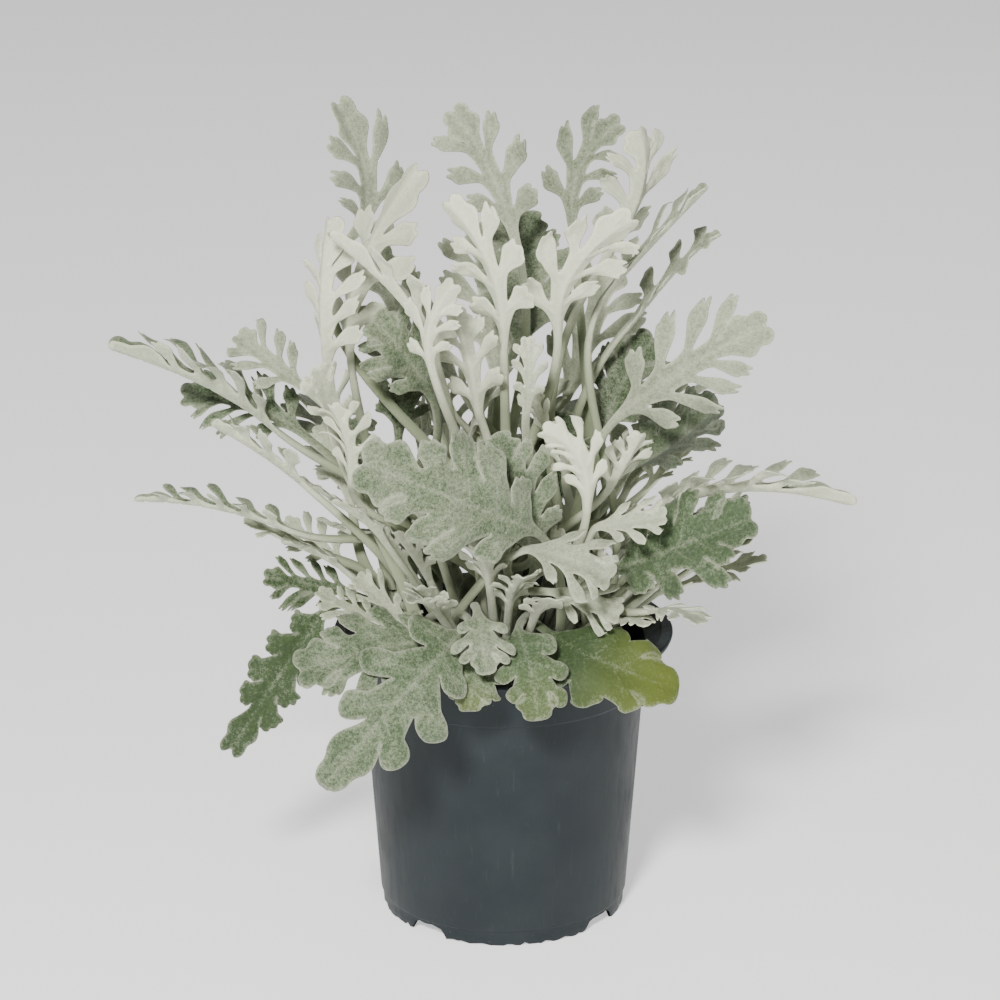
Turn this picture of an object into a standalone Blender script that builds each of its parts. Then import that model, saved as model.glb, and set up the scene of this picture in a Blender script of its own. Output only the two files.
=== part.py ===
# Dusty miller: a silver-leaved bedding plant standing in its dark plastic nursery pot.
# Units are metres, +Z is up, and the origin is the middle of the pot's foot on the ground.
# -Y is the front of the plant. Sizes below are written in millimetres and scaled by MM.
import math
import random

import bmesh
import bpy
import numpy as np
from mathutils import Vector
from mathutils.bvhtree import BVHTree
from mathutils.geometry import delaunay_2d_cdt

MM = 0.001

# Driving dimensions of the pot, a round two-litre nursery container (mm).
POT_HEIGHT = 147.0
RIM_RADIUS = 85.0
RIM_LIP_HEIGHT = 3.4
RIM_INNER_RADIUS = 79.3
COLLAR_RADIUS = 72.6
COLLAR_FOOT_Z = 121.0
WALL_TOP_RADIUS = 70.7
WALL_FOOT_RADIUS = 62.8
WALL_FOOT_Z = 8.2
WALL_THICKNESS = 1.6
FOOT_RADIUS = 61.8
FOOT_RING_THICKNESS = 1.7
PLATE_UNDERSIDE_Z = 7.0
PLATE_THICKNESS = 1.6
POT_SIDES = 36
FOOT_COUNT = 4
FOOT_NOTCH_ANGLE = 20.0
FOOT_NOTCH_HEIGHT = 6.6
FOOT_TURN = 7.0
DRAIN_HOLE_RADIUS = 4.5
DRAIN_CIRCLE_RADIUS = 46.0

# Soil and crown (mm).
GAP = 0.3
SOIL_EDGE_Z = 117.0
SOIL_MOUND = 3.0
TRUNK_RADIUS = 11.0
TRUNK_FOOT_Z = 96.0
TRUNK_TOP_Z = 131.0
STEM_SIDES = 6
STEM_RINGS = 5
STEM_FOOT_RADIUS = 4.4
STEM_TIP_RADIUS = 2.9

# Leaf stalks and blades (mm).
STALK_HALF_WIDTH = 2.3
HEEL_HALF_WIDTH = 1.7
STALK_HALF_THICKNESS = 1.6
RIB_HALF_THICKNESS = 1.4
TIP_HALF_THICKNESS = 0.6
EDGE_HALF_THICKNESS = 0.45
STALK_EDGE_HALF_THICKNESS = 0.9
RIB_BAND = 1.9
SPINE_STEPS = 24
CLEARANCE = 0.16

# Short woody branches from the crown: foot, bend and tip of each centre line (mm).
STEMS = {
    "centre": ((0, 2, 124), (2, 6, 172), (3, 10, 224)),
    "centre_left": ((-4, 1, 124), (-20, 2, 162), (-34, -2, 206)),
    "centre_right": ((4, 1, 124), (20, 1, 162), (34, 2, 208)),
    "left": ((-5, 0, 124), (-36, -6, 145), (-64, -12, 176)),
    "right": ((5, 0, 124), (36, -8, 145), (60, -14, 176)),
    "front": ((0, -5, 124), (3, -30, 146), (4, -50, 180)),
    "front_left": ((-4, -4, 124), (-24, -32, 141), (-44, -52, 164)),
    "front_right": ((4, -4, 124), (24, -30, 141), (42, -48, 164)),
    "back": ((0, 5, 124), (0, 34, 147), (-2, 58, 188)),
    "back_left": ((-4, 4, 124), (-28, 26, 145), (-50, 44, 180)),
    "back_right": ((4, 4, 124), (28, 26, 145), (50, 42, 180)),
}

# How each kind of blade is cut: neck is where the gap between lobes ends (share of the
# lobe), fill how wide a lobe is against the room it has, waist its narrowest part, shoulder
# where it is widest, span the stretch of rib with lobes, and end the end lobe's half width.
KINDS = {
    "cut": {"neck": 0.20, "fill": 0.74, "waist": 0.50, "shoulder": 0.74, "angles": (58, 38),
            "span": (0.03, 0.68), "end": 0.40},
    "comb": {"neck": 0.20, "fill": 0.66, "waist": 0.55, "shoulder": 0.66, "angles": (66, 48),
             "span": (0.03, 0.80), "end": 0.30},
    "broad": {"neck": 0.62, "fill": 1.00, "waist": 0.86, "shoulder": 0.84, "angles": (60, 34),
              "span": (0.02, 0.78), "end": 0.52},
    "young": {"neck": 0.40, "fill": 0.84, "waist": 0.60, "shoulder": 0.72, "angles": (50, 30),
              "span": (0.05, 0.72), "end": 0.46},
}

# Which way the upper face of a blade looks.
TO_FRONT = (0.05, -1.0, 0.25)
FRONT_UP = (0.0, -0.7, 0.75)
TO_BACK = (0.2, 1.0, 0.25)
UPWARD = (0.05, 0.12, 1.0)

# Every leaf: name, kind of blade, pairs of lobes, half width, heel, middle and tip of the
# blade (mm), the way its upper face looks, and the angle each half is folded up (degrees).
LEAVES = [
    ("middle_1", "broad", 4, 29, (12, -76, 224), (-23, -98, 246), (-68, -100, 265), TO_FRONT, 8),
    ("low_2", "cut", 4, 27, (-22, -88, 174), (-49, -116, 153), (-86, -116, 108), TO_FRONT, 10),
    ("low_1", "broad", 4, 24, (-32, -86, 171), (-62, -98, 171), (-98, -104, 162), FRONT_UP, 8),
    ("low_7", "broad", 4, 24, (25, -76, 169), (49, -92, 162), (84, -88, 147), FRONT_UP, 6),
    ("low_6", "broad", 3, 17, (7, -84, 174), (13, -104, 162), (16, -106, 138), TO_FRONT, 10),
    ("low_5", "broad", 3, 13, (-8, -90, 167), (-14, -104, 158), (-16, -106, 145), TO_FRONT, 14),
    ("low_4", "young", 3, 14, (-12, -72, 184), (-10, -84, 176), (-8, -92, 162), FRONT_UP, 14),
    ("left_1", "cut", 5, 25, (-113, -6, 253), (-146, -12, 277), (-192, -16, 296), UPWARD, 46),
    ("left_4", "comb", 5, 15, (-103, -34, 209), (-141, -42, 224), (-178, -46, 228), UPWARD, 42),
    ("right_3", "cut", 5, 22, (74, -24, 216), (118, -34, 230), (170, -36, 222), UPWARD, 46),
    ("right_1", "cut", 4, 25, (58, -12, 262), (90, -22, 289), (128, -26, 311), TO_FRONT, 14),
    ("top_3", "cut", 3, 23, (26, -24, 309), (34, -36, 341), (62, -42, 367), (-0.35, 1.0, 0.3), 16),
    ("top_2", "cut", 3, 18, (0, -34, 307), (-7, -44, 345), (-27, -44, 376), (0.3, 1.0, 0.3), 18),
    ("upper_left_1", "cut", 3, 21, (-74, 22, 343), (-67, 30, 368), (-82, 34, 408), (0.55, -0.8, 0.25), 20),
    ("top_1", "cut", 3, 21, (5, 18, 344), (-8, 24, 377), (-26, 26, 405), (0.0, -0.9, 0.35), 20),
    ("top_4", "cut", 3, 23, (49, 8, 333), (66, 6, 370), (64, 8, 399), (-0.6, 0.75, 0.3), 24),
    ("top_5", "cut", 3, 19, (34, 36, 346), (39, 44, 374), (59, 46, 394), (-0.4, -0.9, 0.25), 22),
    ("upper_left_2", "cut", 4, 23, (-85, -22, 288), (-86, -32, 326), (-82, -26, 364), (0.75, 0.65, 0.2), 32),
    ("upper_left_3", "cut", 3, 21, (-71, -8, 293), (-63, -12, 338), (-35, -4, 383), (0.6, 0.8, 0.25), 28),
    ("upper_left_4", "cut", 3, 21, (-32, -20, 295), (-49, -30, 328), (-83, -34, 360), None, 34),
    ("top_6", "cut", 3, 19, (51, 0, 321), (77, 2, 349), (99, 4, 371), None, 26),
    ("top_7", "comb", 3, 17, (63, 14, 301), (88, 22, 329), (107, 26, 342), None, 30),
    ("right_2", "broad", 3, 25, (68, 4, 232), (88, 8, 244), (108, 14, 260), (-0.4, 0.9, 0.3), 20),
    ("right_4", "broad", 4, 26, (53, -34, 193), (83, -48, 210), (116, -52, 225), FRONT_UP, 18),
    ("right_7", "young", 3, 19, (13, -72, 214), (32, -84, 213), (51, -88, 204), FRONT_UP, 12),
    ("right_8", "young", 3, 15, (25, -60, 188), (40, -70, 187), (56, -74, 181), FRONT_UP, 12),
    ("right_5", "young", 4, 14, (40, -56, 229), (35, -66, 257), (17, -74, 272), None, 20),
    ("right_6", "young", 3, 13, (46, -52, 217), (61, -60, 222), (78, -66, 227), FRONT_UP, 16),
    ("right_9", "cut", 3, 14, (51, -34, 230), (59, -42, 247), (66, -44, 262), (-0.5, 0.85, 0.3), 20),
    ("right_10", "broad", 4, 20, (43, 22, 248), (52, 28, 268), (68, 34, 290), (-0.3, -0.9, 0.4), 12),
    ("left_2", "cut", 4, 20, (-101, 12, 245), (-130, 18, 259), (-161, 22, 260), FRONT_UP, 18),
    ("left_3", "cut", 3, 18, (-98, -26, 231), (-119, -34, 250), (-141, -38, 264), UPWARD, 40),
    ("left_5", "cut", 4, 15, (-77, -14, 170), (-98, -16, 175), (-119, -18, 179), FRONT_UP, 16),
    ("left_6", "young", 3, 14, (-83, -44, 262), (-84, -50, 278), (-89, -54, 295), (0.4, -0.9, 0.4), 14),
    ("left_7", "cut", 3, 17, (-100, 4, 273), (-116, 8, 285), (-131, 12, 297), FRONT_UP, 20),
    ("left_8", "comb", 4, 19, (-73, -48, 238), (-74, -56, 261), (-82, -60, 281), (0.6, 0.8, 0.2), 26),
    ("low_3", "broad", 4, 15, (-90, -30, 163), (-112, -36, 132), (-137, -34, 92), TO_FRONT, 24),
    ("middle_2", "broad", 4, 24, (13, -62, 211), (3, -72, 243), (-8, -74, 269), TO_FRONT, 12),
    ("middle_4", "cut", 3, 14, (-34, -46, 299), (-34, -50, 321), (-22, -52, 342), (0.35, 1.0, 0.2), 20),
    ("middle_5", "cut", 3, 16, (-12, -50, 270), (-17, -58, 302), (-24, -60, 325), (0.2, 1.0, 0.3), 20),
    ("middle_6", "young", 3, 9, (11, -50, 277), (12, -54, 295), (11, -56, 313), TO_FRONT, 24),
    ("middle_7", "broad", 4, 20, (-37, -6, 274), (-49, -14, 295), (-64, -16, 312), (0.35, -0.9, 0.3), 12),
    ("middle_8", "broad", 4, 18, (22, -8, 210), (25, -6, 234), (28, -2, 256), TO_FRONT, 12),
    ("middle_9", "broad", 3, 17, (-52, 2, 248), (-50, 2, 266), (-46, 4, 285), (0.5, -0.8, 0.4), 12),
    ("low_8", "broad", 3, 14, (35, -14, 145), (45, -6, 152), (56, 2, 161), FRONT_UP, 10),
    ("back_1", "cut", 3, 26, (-38, 52, 252), (-54, 74, 288), (-66, 84, 322), None, 16),
    ("back_2", "cut", 3, 26, (-4, 56, 262), (-8, 80, 300), (-12, 88, 336), None, 16),
    ("back_3", "cut", 3, 26, (32, 54, 250), (46, 76, 284), (60, 86, 316), None, 16),
    ("back_4", "cut", 3, 26, (62, 52, 206), (80, 78, 230), (90, 104, 240), None, 18),
    ("back_5", "broad", 4, 27, (20, 72, 204), (28, 102, 224), (34, 132, 226), None, 14),
    ("back_6", "cut", 3, 26, (-24, 72, 208), (-32, 102, 230), (-40, 130, 234), None, 16),
    ("back_7", "broad", 4, 27, (-66, 54, 208), (-84, 78, 228), (-92, 106, 234), None, 16),
    ("back_8", "broad", 4, 24, (44, 66, 164), (60, 92, 166), (72, 116, 152), None, 10),
    ("back_9", "cut", 3, 24, (-2, 82, 168), (-4, 112, 168), (-6, 144, 146), None, 12),
    ("back_10", "broad", 4, 24, (-46, 64, 166), (-62, 92, 168), (-76, 116, 154), None, 12),
    ("back_11", "broad", 4, 25, (8, 30, 286), (10, 50, 318), (8, 60, 346), None, 14),
]

GREEN = (0.36, 0.42, 0.33)
SILVER = (0.60, 0.64, 0.57)
GREEN_LEAVES = ("low_3", "low_7", "low_8", "middle_8", "middle_9", "right_2", "right_10", "left_5")


def clear_scene():
    for obj in list(bpy.data.objects):
        bpy.data.objects.remove(obj, do_unlink=True)


def material(name, colour, roughness):
    mat = bpy.data.materials.new(name)
    mat.use_nodes = True
    shader = mat.node_tree.nodes["Principled BSDF"]
    shader.inputs["Base Color"].default_value = (*colour, 1.0)
    shader.inputs["Roughness"].default_value = roughness
    shader.inputs["Metallic"].default_value = 0.0
    return mat


def add_object(name, verts, faces, mat, place=(0.0, 0.0, 0.0), parent=None):
    mesh = bpy.data.meshes.new(name)
    mesh.from_pydata([(x * MM, y * MM, z * MM) for x, y, z in verts], [], faces)
    bm = bmesh.new()
    bm.from_mesh(mesh)
    bmesh.ops.recalc_face_normals(bm, faces=bm.faces)
    bm.to_mesh(mesh)
    bm.free()
    obj = bpy.data.objects.new(name, mesh)
    obj.location = [value * MM for value in place]
    obj.parent = parent
    bpy.context.scene.collection.objects.link(obj)
    mesh.materials.append(mat)
    return obj


def lathe(profile, sides):
    """Turns a profile of (radius, height) round the Z axis; radius 0 closes it."""
    verts = []
    rings = []
    for radius, height in profile:
        if radius <= 0.0:
            rings.append([len(verts)])
            verts.append((0.0, 0.0, height))
            continue
        rings.append(list(range(len(verts), len(verts) + sides)))
        for k in range(sides):
            angle = math.tau * k / sides
            verts.append((radius * math.cos(angle), radius * math.sin(angle), height))
    faces = []
    closed = profile[0][0] > 0.0
    pairs = list(zip(rings, rings[1:] + rings[:1])) if closed else list(zip(rings, rings[1:]))
    for low, high in pairs:
        for k in range(sides):
            n = (k + 1) % sides
            if len(low) == 1:
                faces.append((low[0], high[k], high[n]))
            elif len(high) == 1:
                faces.append((low[k], low[n], high[0]))
            else:
                faces.append((low[k], low[n], high[n], high[k]))
    return verts, faces


def wall_radius(height):
    """Outer radius of the tapered wall below the collar."""
    share = (height - WALL_FOOT_Z) / (COLLAR_FOOT_Z - WALL_FOOT_Z)
    return WALL_FOOT_RADIUS + (WALL_TOP_RADIUS - WALL_FOOT_RADIUS) * share


def pot_profile():
    lip_z = POT_HEIGHT - RIM_LIP_HEIGHT
    plate_top = PLATE_UNDERSIDE_Z + PLATE_THICKNESS
    inner_wall_top = COLLAR_FOOT_Z - 1.2
    return [
        (0.0, plate_top),
        (wall_radius(plate_top) - WALL_THICKNESS, plate_top),
        (wall_radius(inner_wall_top) - WALL_THICKNESS, inner_wall_top),
        (COLLAR_RADIUS - WALL_THICKNESS, POT_HEIGHT - 5.6),
        (RIM_INNER_RADIUS, POT_HEIGHT),
        (RIM_RADIUS - 0.8, POT_HEIGHT),
        (RIM_RADIUS, POT_HEIGHT - 0.8),
        (RIM_RADIUS - 0.3, lip_z),
        (COLLAR_RADIUS + 0.8, lip_z - 0.6),
        (COLLAR_RADIUS - 1.1, COLLAR_FOOT_Z),
        (WALL_TOP_RADIUS, COLLAR_FOOT_Z - 0.6),
        (WALL_FOOT_RADIUS, WALL_FOOT_Z),
        (FOOT_RADIUS, WALL_FOOT_Z - 0.7),
        (FOOT_RADIUS - 0.3, 0.0),
        (FOOT_RADIUS - FOOT_RING_THICKNESS, 0.0),
        (FOOT_RADIUS - FOOT_RING_THICKNESS - 0.3, PLATE_UNDERSIDE_Z),
        (0.0, PLATE_UNDERSIDE_Z),
    ]


def notch_bodies():
    """Wedges that cut the foot ring into feet, and pins that cut the drain holes."""
    verts = []
    faces = []
    inner = FOOT_RADIUS - 6.0
    outer = FOOT_RADIUS + 6.0
    half = math.radians(FOOT_NOTCH_ANGLE / 2.0)
    for k in range(FOOT_COUNT):
        front = math.radians(-90.0 + FOOT_TURN) + math.pi / FOOT_COUNT
        middle = front + math.tau * k / FOOT_COUNT
        start = len(verts)
        for height in (-4.0, FOOT_NOTCH_HEIGHT):
            for radius, turn in ((inner, -half), (outer, -half), (outer, half), (inner, half)):
                verts.append((radius * math.cos(middle + turn), radius * math.sin(middle + turn), height))
        faces += [tuple(start + i for i in face) for face in (
            (3, 2, 1, 0), (4, 5, 6, 7), (0, 1, 5, 4), (1, 2, 6, 5), (2, 3, 7, 6), (3, 0, 4, 7))]
    hole_sides = 10
    holes = [(0.0, 0.0)]
    for k in range(FOOT_COUNT):
        angle = math.radians(-90.0 + FOOT_TURN) + math.tau * k / FOOT_COUNT
        holes.append((DRAIN_CIRCLE_RADIUS * math.cos(angle), DRAIN_CIRCLE_RADIUS * math.sin(angle)))
    for cx, cy in holes:
        start = len(verts)
        for height in (PLATE_UNDERSIDE_Z - 3.0, PLATE_UNDERSIDE_Z + PLATE_THICKNESS + 3.0):
            for k in range(hole_sides):
                angle = math.tau * k / hole_sides
                verts.append((cx + DRAIN_HOLE_RADIUS * math.cos(angle),
                              cy + DRAIN_HOLE_RADIUS * math.sin(angle), height))
        faces.append(tuple(start + k for k in reversed(range(hole_sides))))
        faces.append(tuple(start + hole_sides + k for k in range(hole_sides)))
        for k in range(hole_sides):
            n = (k + 1) % hole_sides
            faces.append((start + k, start + n, start + hole_sides + n, start + hole_sides + k))
    return verts, faces


def applied_mesh(obj):
    """Bakes an object's modifiers into its mesh."""
    graph = bpy.context.evaluated_depsgraph_get()
    baked = bpy.data.meshes.new_from_object(obj.evaluated_get(graph))
    obj.modifiers.clear()
    obj.data = baked


def build_pot(parent):
    verts, faces = lathe(pot_profile(), POT_SIDES)
    pot = add_object("pot", verts, faces, material("pot_plastic", (0.045, 0.058, 0.064), 0.45),
                     parent=parent)
    verts, faces = notch_bodies()
    cutter = add_object("pot_cutter", verts, faces, pot.data.materials[0])
    cutter.hide_render = True
    cutter.display_type = "WIRE"
    cut = pot.modifiers.new("feet_and_drain_holes", "BOOLEAN")
    cut.operation = "DIFFERENCE"
    cut.object = cutter
    applied_mesh(pot)
    bpy.data.objects.remove(cutter, do_unlink=True)
    return pot


def build_soil(parent):
    rng = random.Random(11)
    floor_z = PLATE_UNDERSIDE_Z + PLATE_THICKNESS + GAP
    facet = math.cos(math.pi / POT_SIDES)

    def inside(height):
        return wall_radius(height) - WALL_THICKNESS - GAP / facet

    profile = [
        (0.0, floor_z),
        (inside(floor_z) - 0.4, floor_z),
        (inside(SOIL_EDGE_Z), SOIL_EDGE_Z),
        (58.0, SOIL_EDGE_Z + 1.0),
        (40.0, SOIL_EDGE_Z + SOIL_MOUND),
        (22.0, SOIL_EDGE_Z + 0.6 * SOIL_MOUND),
        (TRUNK_RADIUS + GAP + 0.2, SOIL_EDGE_Z + 0.6),
        (TRUNK_RADIUS + GAP + 0.2, TRUNK_FOOT_Z - GAP),
        (0.0, TRUNK_FOOT_Z - GAP),
    ]
    verts, faces = lathe(profile, POT_SIDES)
    uneven = []
    for x, y, z in verts:
        radius = math.hypot(x, y)
        loose = SOIL_EDGE_Z < z and TRUNK_RADIUS + 4.0 < radius < 62.0
        uneven.append((x, y, z + rng.uniform(-1.8, 1.8) if loose else z))
    return add_object("soil", uneven, faces, material("peat", (0.030, 0.022, 0.016), 0.95),
                      parent=parent)


def bend(points, share):
    """Point and direction on the quadratic curve through a foot, a bend and a tip."""
    foot, middle, tip = (Vector(p) for p in points)
    control = 2.0 * middle - 0.5 * (foot + tip)
    rest = 1.0 - share
    place = rest * rest * foot + 2.0 * rest * share * control + share * share * tip
    along = 2.0 * rest * (control - foot) + 2.0 * share * (tip - control)
    return place, along.normalized()


def stem_radius(share):
    return STEM_FOOT_RADIUS + (STEM_TIP_RADIUS - STEM_FOOT_RADIUS) * share


def stem_tube(points):
    verts = []
    faces = []
    for ring in range(STEM_RINGS):
        share = ring / (STEM_RINGS - 1)
        place, along = bend(points, share)
        side = along.cross(Vector((0.31, -0.95, 0.05))).normalized()
        other = along.cross(side)
        for k in range(STEM_SIDES):
            angle = math.tau * k / STEM_SIDES
            spoke = math.cos(angle) * side + math.sin(angle) * other
            verts.append(tuple(place + stem_radius(share) * spoke))
    place, along = bend(points, 1.0)
    verts.append(tuple(place + 2.2 * along))
    for ring in range(STEM_RINGS - 1):
        for k in range(STEM_SIDES):
            n = (k + 1) % STEM_SIDES
            low = ring * STEM_SIDES
            high = low + STEM_SIDES
            faces.append((low + k, low + n, high + n, high + k))
    last = (STEM_RINGS - 1) * STEM_SIDES
    faces += [(last + k, last + (k + 1) % STEM_SIDES, len(verts) - 1) for k in range(STEM_SIDES)]
    faces.append(tuple(reversed(range(STEM_SIDES))))
    return verts, faces


def build_crown(parent):
    """The woody crown: a stub of trunk in the soil with its short branches grown from it."""
    bark = material("felted_stem", (0.50, 0.54, 0.46), 0.9)
    verts, faces = lathe([
        (0.0, TRUNK_FOOT_Z), (TRUNK_RADIUS - 2.0, TRUNK_FOOT_Z), (TRUNK_RADIUS, TRUNK_FOOT_Z + 3.0),
        (TRUNK_RADIUS, TRUNK_TOP_Z - 6.0), (TRUNK_RADIUS - 3.5, TRUNK_TOP_Z), (0.0, TRUNK_TOP_Z + 1.5),
    ], 16)
    crown = add_object("crown_and_stems", verts, faces, bark, parent=parent)
    branches = bpy.data.collections.new("branches")
    bpy.context.scene.collection.children.link(branches)
    for name, points in STEMS.items():
        verts, faces = stem_tube(points)
        branch = add_object("branch_" + name, verts, faces, bark)
        bpy.context.scene.collection.objects.unlink(branch)
        branches.objects.link(branch)
    join = crown.modifiers.new("grown_together", "BOOLEAN")
    join.operation = "UNION"
    join.operand_type = "COLLECTION"
    join.collection = branches
    applied_mesh(crown)
    for branch in list(branches.objects):
        bpy.data.objects.remove(branch, do_unlink=True)
    bpy.data.collections.remove(branches)
    return crown


def lobe_points(kind, half_width):
    """One lobe in its own units: along its axis, and across in half widths."""
    neck = kind["neck"]
    waist = kind["waist"]
    shoulder = kind["shoulder"]
    if half_width < 19:
        return [(neck, -waist), (shoulder + 0.06, -0.96), (1.02, 0.0), (shoulder + 0.08, 0.96),
                (neck + 0.02, waist)]
    points = [(neck, -waist), (shoulder, -0.98), (0.98, -0.60)]
    if kind["neck"] < 0.3:
        points.append((0.92, -0.02))
    return points + [(1.03, 0.54), (shoulder + 0.02, 0.98), (neck + 0.02, waist)]


def blade_outline(spec, length, stalk):
    """Outline of stalk and blade laid flat: x along the leaf from the heel, y across."""
    name, kind_name, pairs, half_width = spec[:4]
    kind = KINDS[kind_name]
    rng = random.Random(name)
    base_angle, tip_angle = kind["angles"]
    first, last = kind["span"]
    room = (last - first) * length / pairs
    sides = []
    for side in (1, -1):
        taper = HEEL_HALF_WIDTH - STALK_HALF_WIDTH
        points = [(-stalk * (1.0 - k / 3.0), STALK_HALF_WIDTH + taper * k / 3.0) for k in range(4)]
        for k in range(pairs):
            share = (k + 0.5) / pairs
            base_x = first * length + room * (k + 0.40 + 0.14 * side)
            angle = math.radians(base_angle + (tip_angle - base_angle) * share + rng.uniform(-5.0, 5.0))
            reach = math.sin(math.pi * (0.22 + 0.58 * share)) ** 1.1
            size = half_width * reach * rng.uniform(0.88, 1.08) / math.sin(angle)
            half = 0.5 * room * math.sin(angle) * kind["fill"] * rng.uniform(0.92, 1.04)
            along = (math.cos(angle), math.sin(angle))
            across = (math.sin(angle), -math.cos(angle))
            for a, b in lobe_points(kind, half_width):
                x = base_x + a * size * along[0] + b * half * across[0]
                y = a * size * along[1] + b * half * across[1]
                points.append((min(x, 0.97 * length), max(y, RIB_BAND)))
        end = kind["end"] * half_width
        points += [(0.83 * length, end), (0.89 * length, 0.66 * end), (0.985 * length, 0.52 * end)]
        if side == 1:
            points.append((0.955 * length, 0.0))
        sides.append([(x, y * side) for x, y in points])
    return sides[0] + sides[1][::-1]


def largest_patch(faces):
    """Keeps the triangles that hang together by their edges, and drops loose scraps."""
    by_edge = {}
    for index, face in enumerate(faces):
        for k in range(3):
            by_edge.setdefault(frozenset((face[k], face[(k + 1) % 3])), []).append(index)
    seen = set()
    best = []
    for start in range(len(faces)):
        if start in seen:
            continue
        seen.add(start)
        patch = [start]
        for index in patch:
            face = faces[index]
            for k in range(3):
                for other in by_edge[frozenset((face[k], face[(k + 1) % 3]))]:
                    if other not in seen:
                        seen.add(other)
                        patch.append(other)
        if len(patch) > len(best):
            best = patch
    return [faces[index] for index in sorted(best)]


def border_edges(faces):
    border = {}
    for face in faces:
        for k in range(3):
            a = face[k]
            b = face[(k + 1) % 3]
            if (b, a) in border:
                del border[(b, a)]
            else:
                border[(a, b)] = True
    return list(border)


def flat_leaf(spec, length, stalk):
    """Splits the flat outline into triangles that both faces of the leaf share."""
    outline = blade_outline(spec, length, stalk)
    rib = [(-0.5 * stalk, 0.0), (-0.02 * stalk, 0.0)]
    steps = 2 + spec[2] // 2
    rib += [(length * (0.16 + 0.74 * k / steps), 0.0) for k in range(steps + 1)]
    points = [Vector(p) for p in outline + [(-stalk, 0.0)] + rib]
    count = len(outline)
    edges = [(k, k + 1) for k in range(count - 1)] + [(count - 1, count), (count, 0)]
    verts, _, faces, _, _, _ = delaunay_2d_cdt(points, edges, [], 1, 1e-4)
    faces = largest_patch([tuple(f) for f in faces])
    border = border_edges(faces)
    leaving = [a for a, _ in border]
    for vertex in set(leaving):
        if leaving.count(vertex) > 1:
            print("leaf", spec[0], "pinches at", tuple(round(c, 1) for c in verts[vertex]))
    return np.array([tuple(v) for v in verts]), faces, border


def unit(vectors):
    return vectors / np.maximum(np.linalg.norm(vectors, axis=-1, keepdims=True), 1e-9)


def natural_face(spec):
    if spec[7] is not None:
        return unit(np.array(spec[7], dtype=float))
    x, y, _ = spec[5]
    inward = -np.array([x, y, 0.0]) / max(math.hypot(x, y), 1.0)
    return unit(0.7 * inward + np.array([0.0, 0.0, 0.72]))


def leaf_spine(spec, root, start, shift, bow):
    """Centre line, direction and upper-face normal from the root, through the heel, to the tip."""
    heel, middle, tip = (np.array(p, dtype=float) + shift for p in spec[4:7])
    control = 2.0 * middle - 0.5 * (heel + tip)
    t = np.linspace(0.0, 1.0, SPINE_STEPS + 1)[:, None]
    blade = (1 - t) ** 2 * heel + 2 * t * (1 - t) * control + t ** 2 * tip
    enter = unit(control - heel)
    pull = 0.36 * np.linalg.norm(heel - root)
    p1 = root + start * pull
    p2 = heel - enter * pull
    side = unit(np.cross(heel - root, np.array([0.0, 0.0, 1.0])))
    p1 = p1 + side * bow
    p2 = p2 + side * bow
    stalk = ((1 - t) ** 3 * root + 3 * t * (1 - t) ** 2 * p1
             + 3 * t ** 2 * (1 - t) * p2 + t ** 3 * heel)
    place = np.vstack([stalk[:-1], blade])
    along = unit(np.gradient(place, axis=0))
    normal = np.zeros_like(place)
    middle_step = SPINE_STEPS + SPINE_STEPS // 2
    face = natural_face(spec)
    normal[middle_step] = unit(face - along[middle_step] * face.dot(along[middle_step]))
    for step in range(middle_step + 1, len(place)):
        carried = normal[step - 1]
        normal[step] = unit(carried - along[step] * carried.dot(along[step]))
    for step in range(middle_step - 1, -1, -1):
        carried = normal[step + 1]
        normal[step] = unit(carried - along[step] * carried.dot(along[step]))
    return place, along, normal


def leaf_surface(spec, spine, flat, length, stalk):
    """Bends the flat leaf along its spine and gives it a top and an underside."""
    place, along, normal = spine
    steps = np.linspace(-1.0, 1.0, len(place))
    x = flat[:, 0]
    y = flat[:, 1]
    share = np.where(x < 0.0, x / stalk, x / length)
    centre = np.stack([np.interp(share, steps, place[:, i]) for i in range(3)], axis=1)
    forward = unit(np.stack([np.interp(share, steps, along[:, i]) for i in range(3)], axis=1))
    up = unit(np.stack([np.interp(share, steps, normal[:, i]) for i in range(3)], axis=1))
    across = np.cross(up, forward)
    half_width = spec[3]
    phase = random.Random(spec[0] + "wave").uniform(0.0, math.tau)
    spread = np.clip(np.abs(y) / half_width, 0.0, 1.3)
    fold = np.radians(spec[8]) * np.clip(spread * 4.0, 0.0, 1.0) - np.radians(16.0) * spread ** 2
    ripple = np.sin(x * math.tau / (0.36 * length) + phase + np.where(y > 0.0, 0.0, 2.1))
    lift = 0.11 * half_width * spread ** 1.5 * ripple * (x > 0.0)
    side = np.sign(y)[:, None]
    fold = fold[:, None]
    spot = centre + across * (y[:, None] * np.cos(fold)) + up * (np.abs(y)[:, None] * np.sin(fold))
    spot = spot + up * lift[:, None]
    outward = unit(up * np.cos(fold) - across * side * np.sin(fold))
    on_rib = np.abs(y) < 1e-3
    in_blade = np.clip(share, 0.0, 1.0)
    rib = np.where(share < 0.0, STALK_HALF_THICKNESS,
                   RIB_HALF_THICKNESS + (TIP_HALF_THICKNESS - RIB_HALF_THICKNESS) * in_blade)
    edge = np.where(share < -0.02, STALK_EDGE_HALF_THICKNESS, EDGE_HALF_THICKNESS)
    half = np.where(on_rib, rib, edge)[:, None]
    return spot + outward * half, spot - outward * half


def leaf_mesh(top, under, faces, border):
    kept = sorted({vertex for face in faces for vertex in face})
    place = {vertex: index for index, vertex in enumerate(kept)}
    faces = [tuple(place[vertex] for vertex in face) for face in faces]
    border = [(place[a], place[b]) for a, b in border]
    count = len(kept)
    verts = np.vstack([top[kept], under[kept]])
    solid = list(faces)
    solid += [(a + count, c + count, b + count) for a, b, c in faces]
    for a, b in border:
        solid.append((a, a + count, b + count))
        solid.append((a, b + count, b))
    return verts, solid


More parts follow.
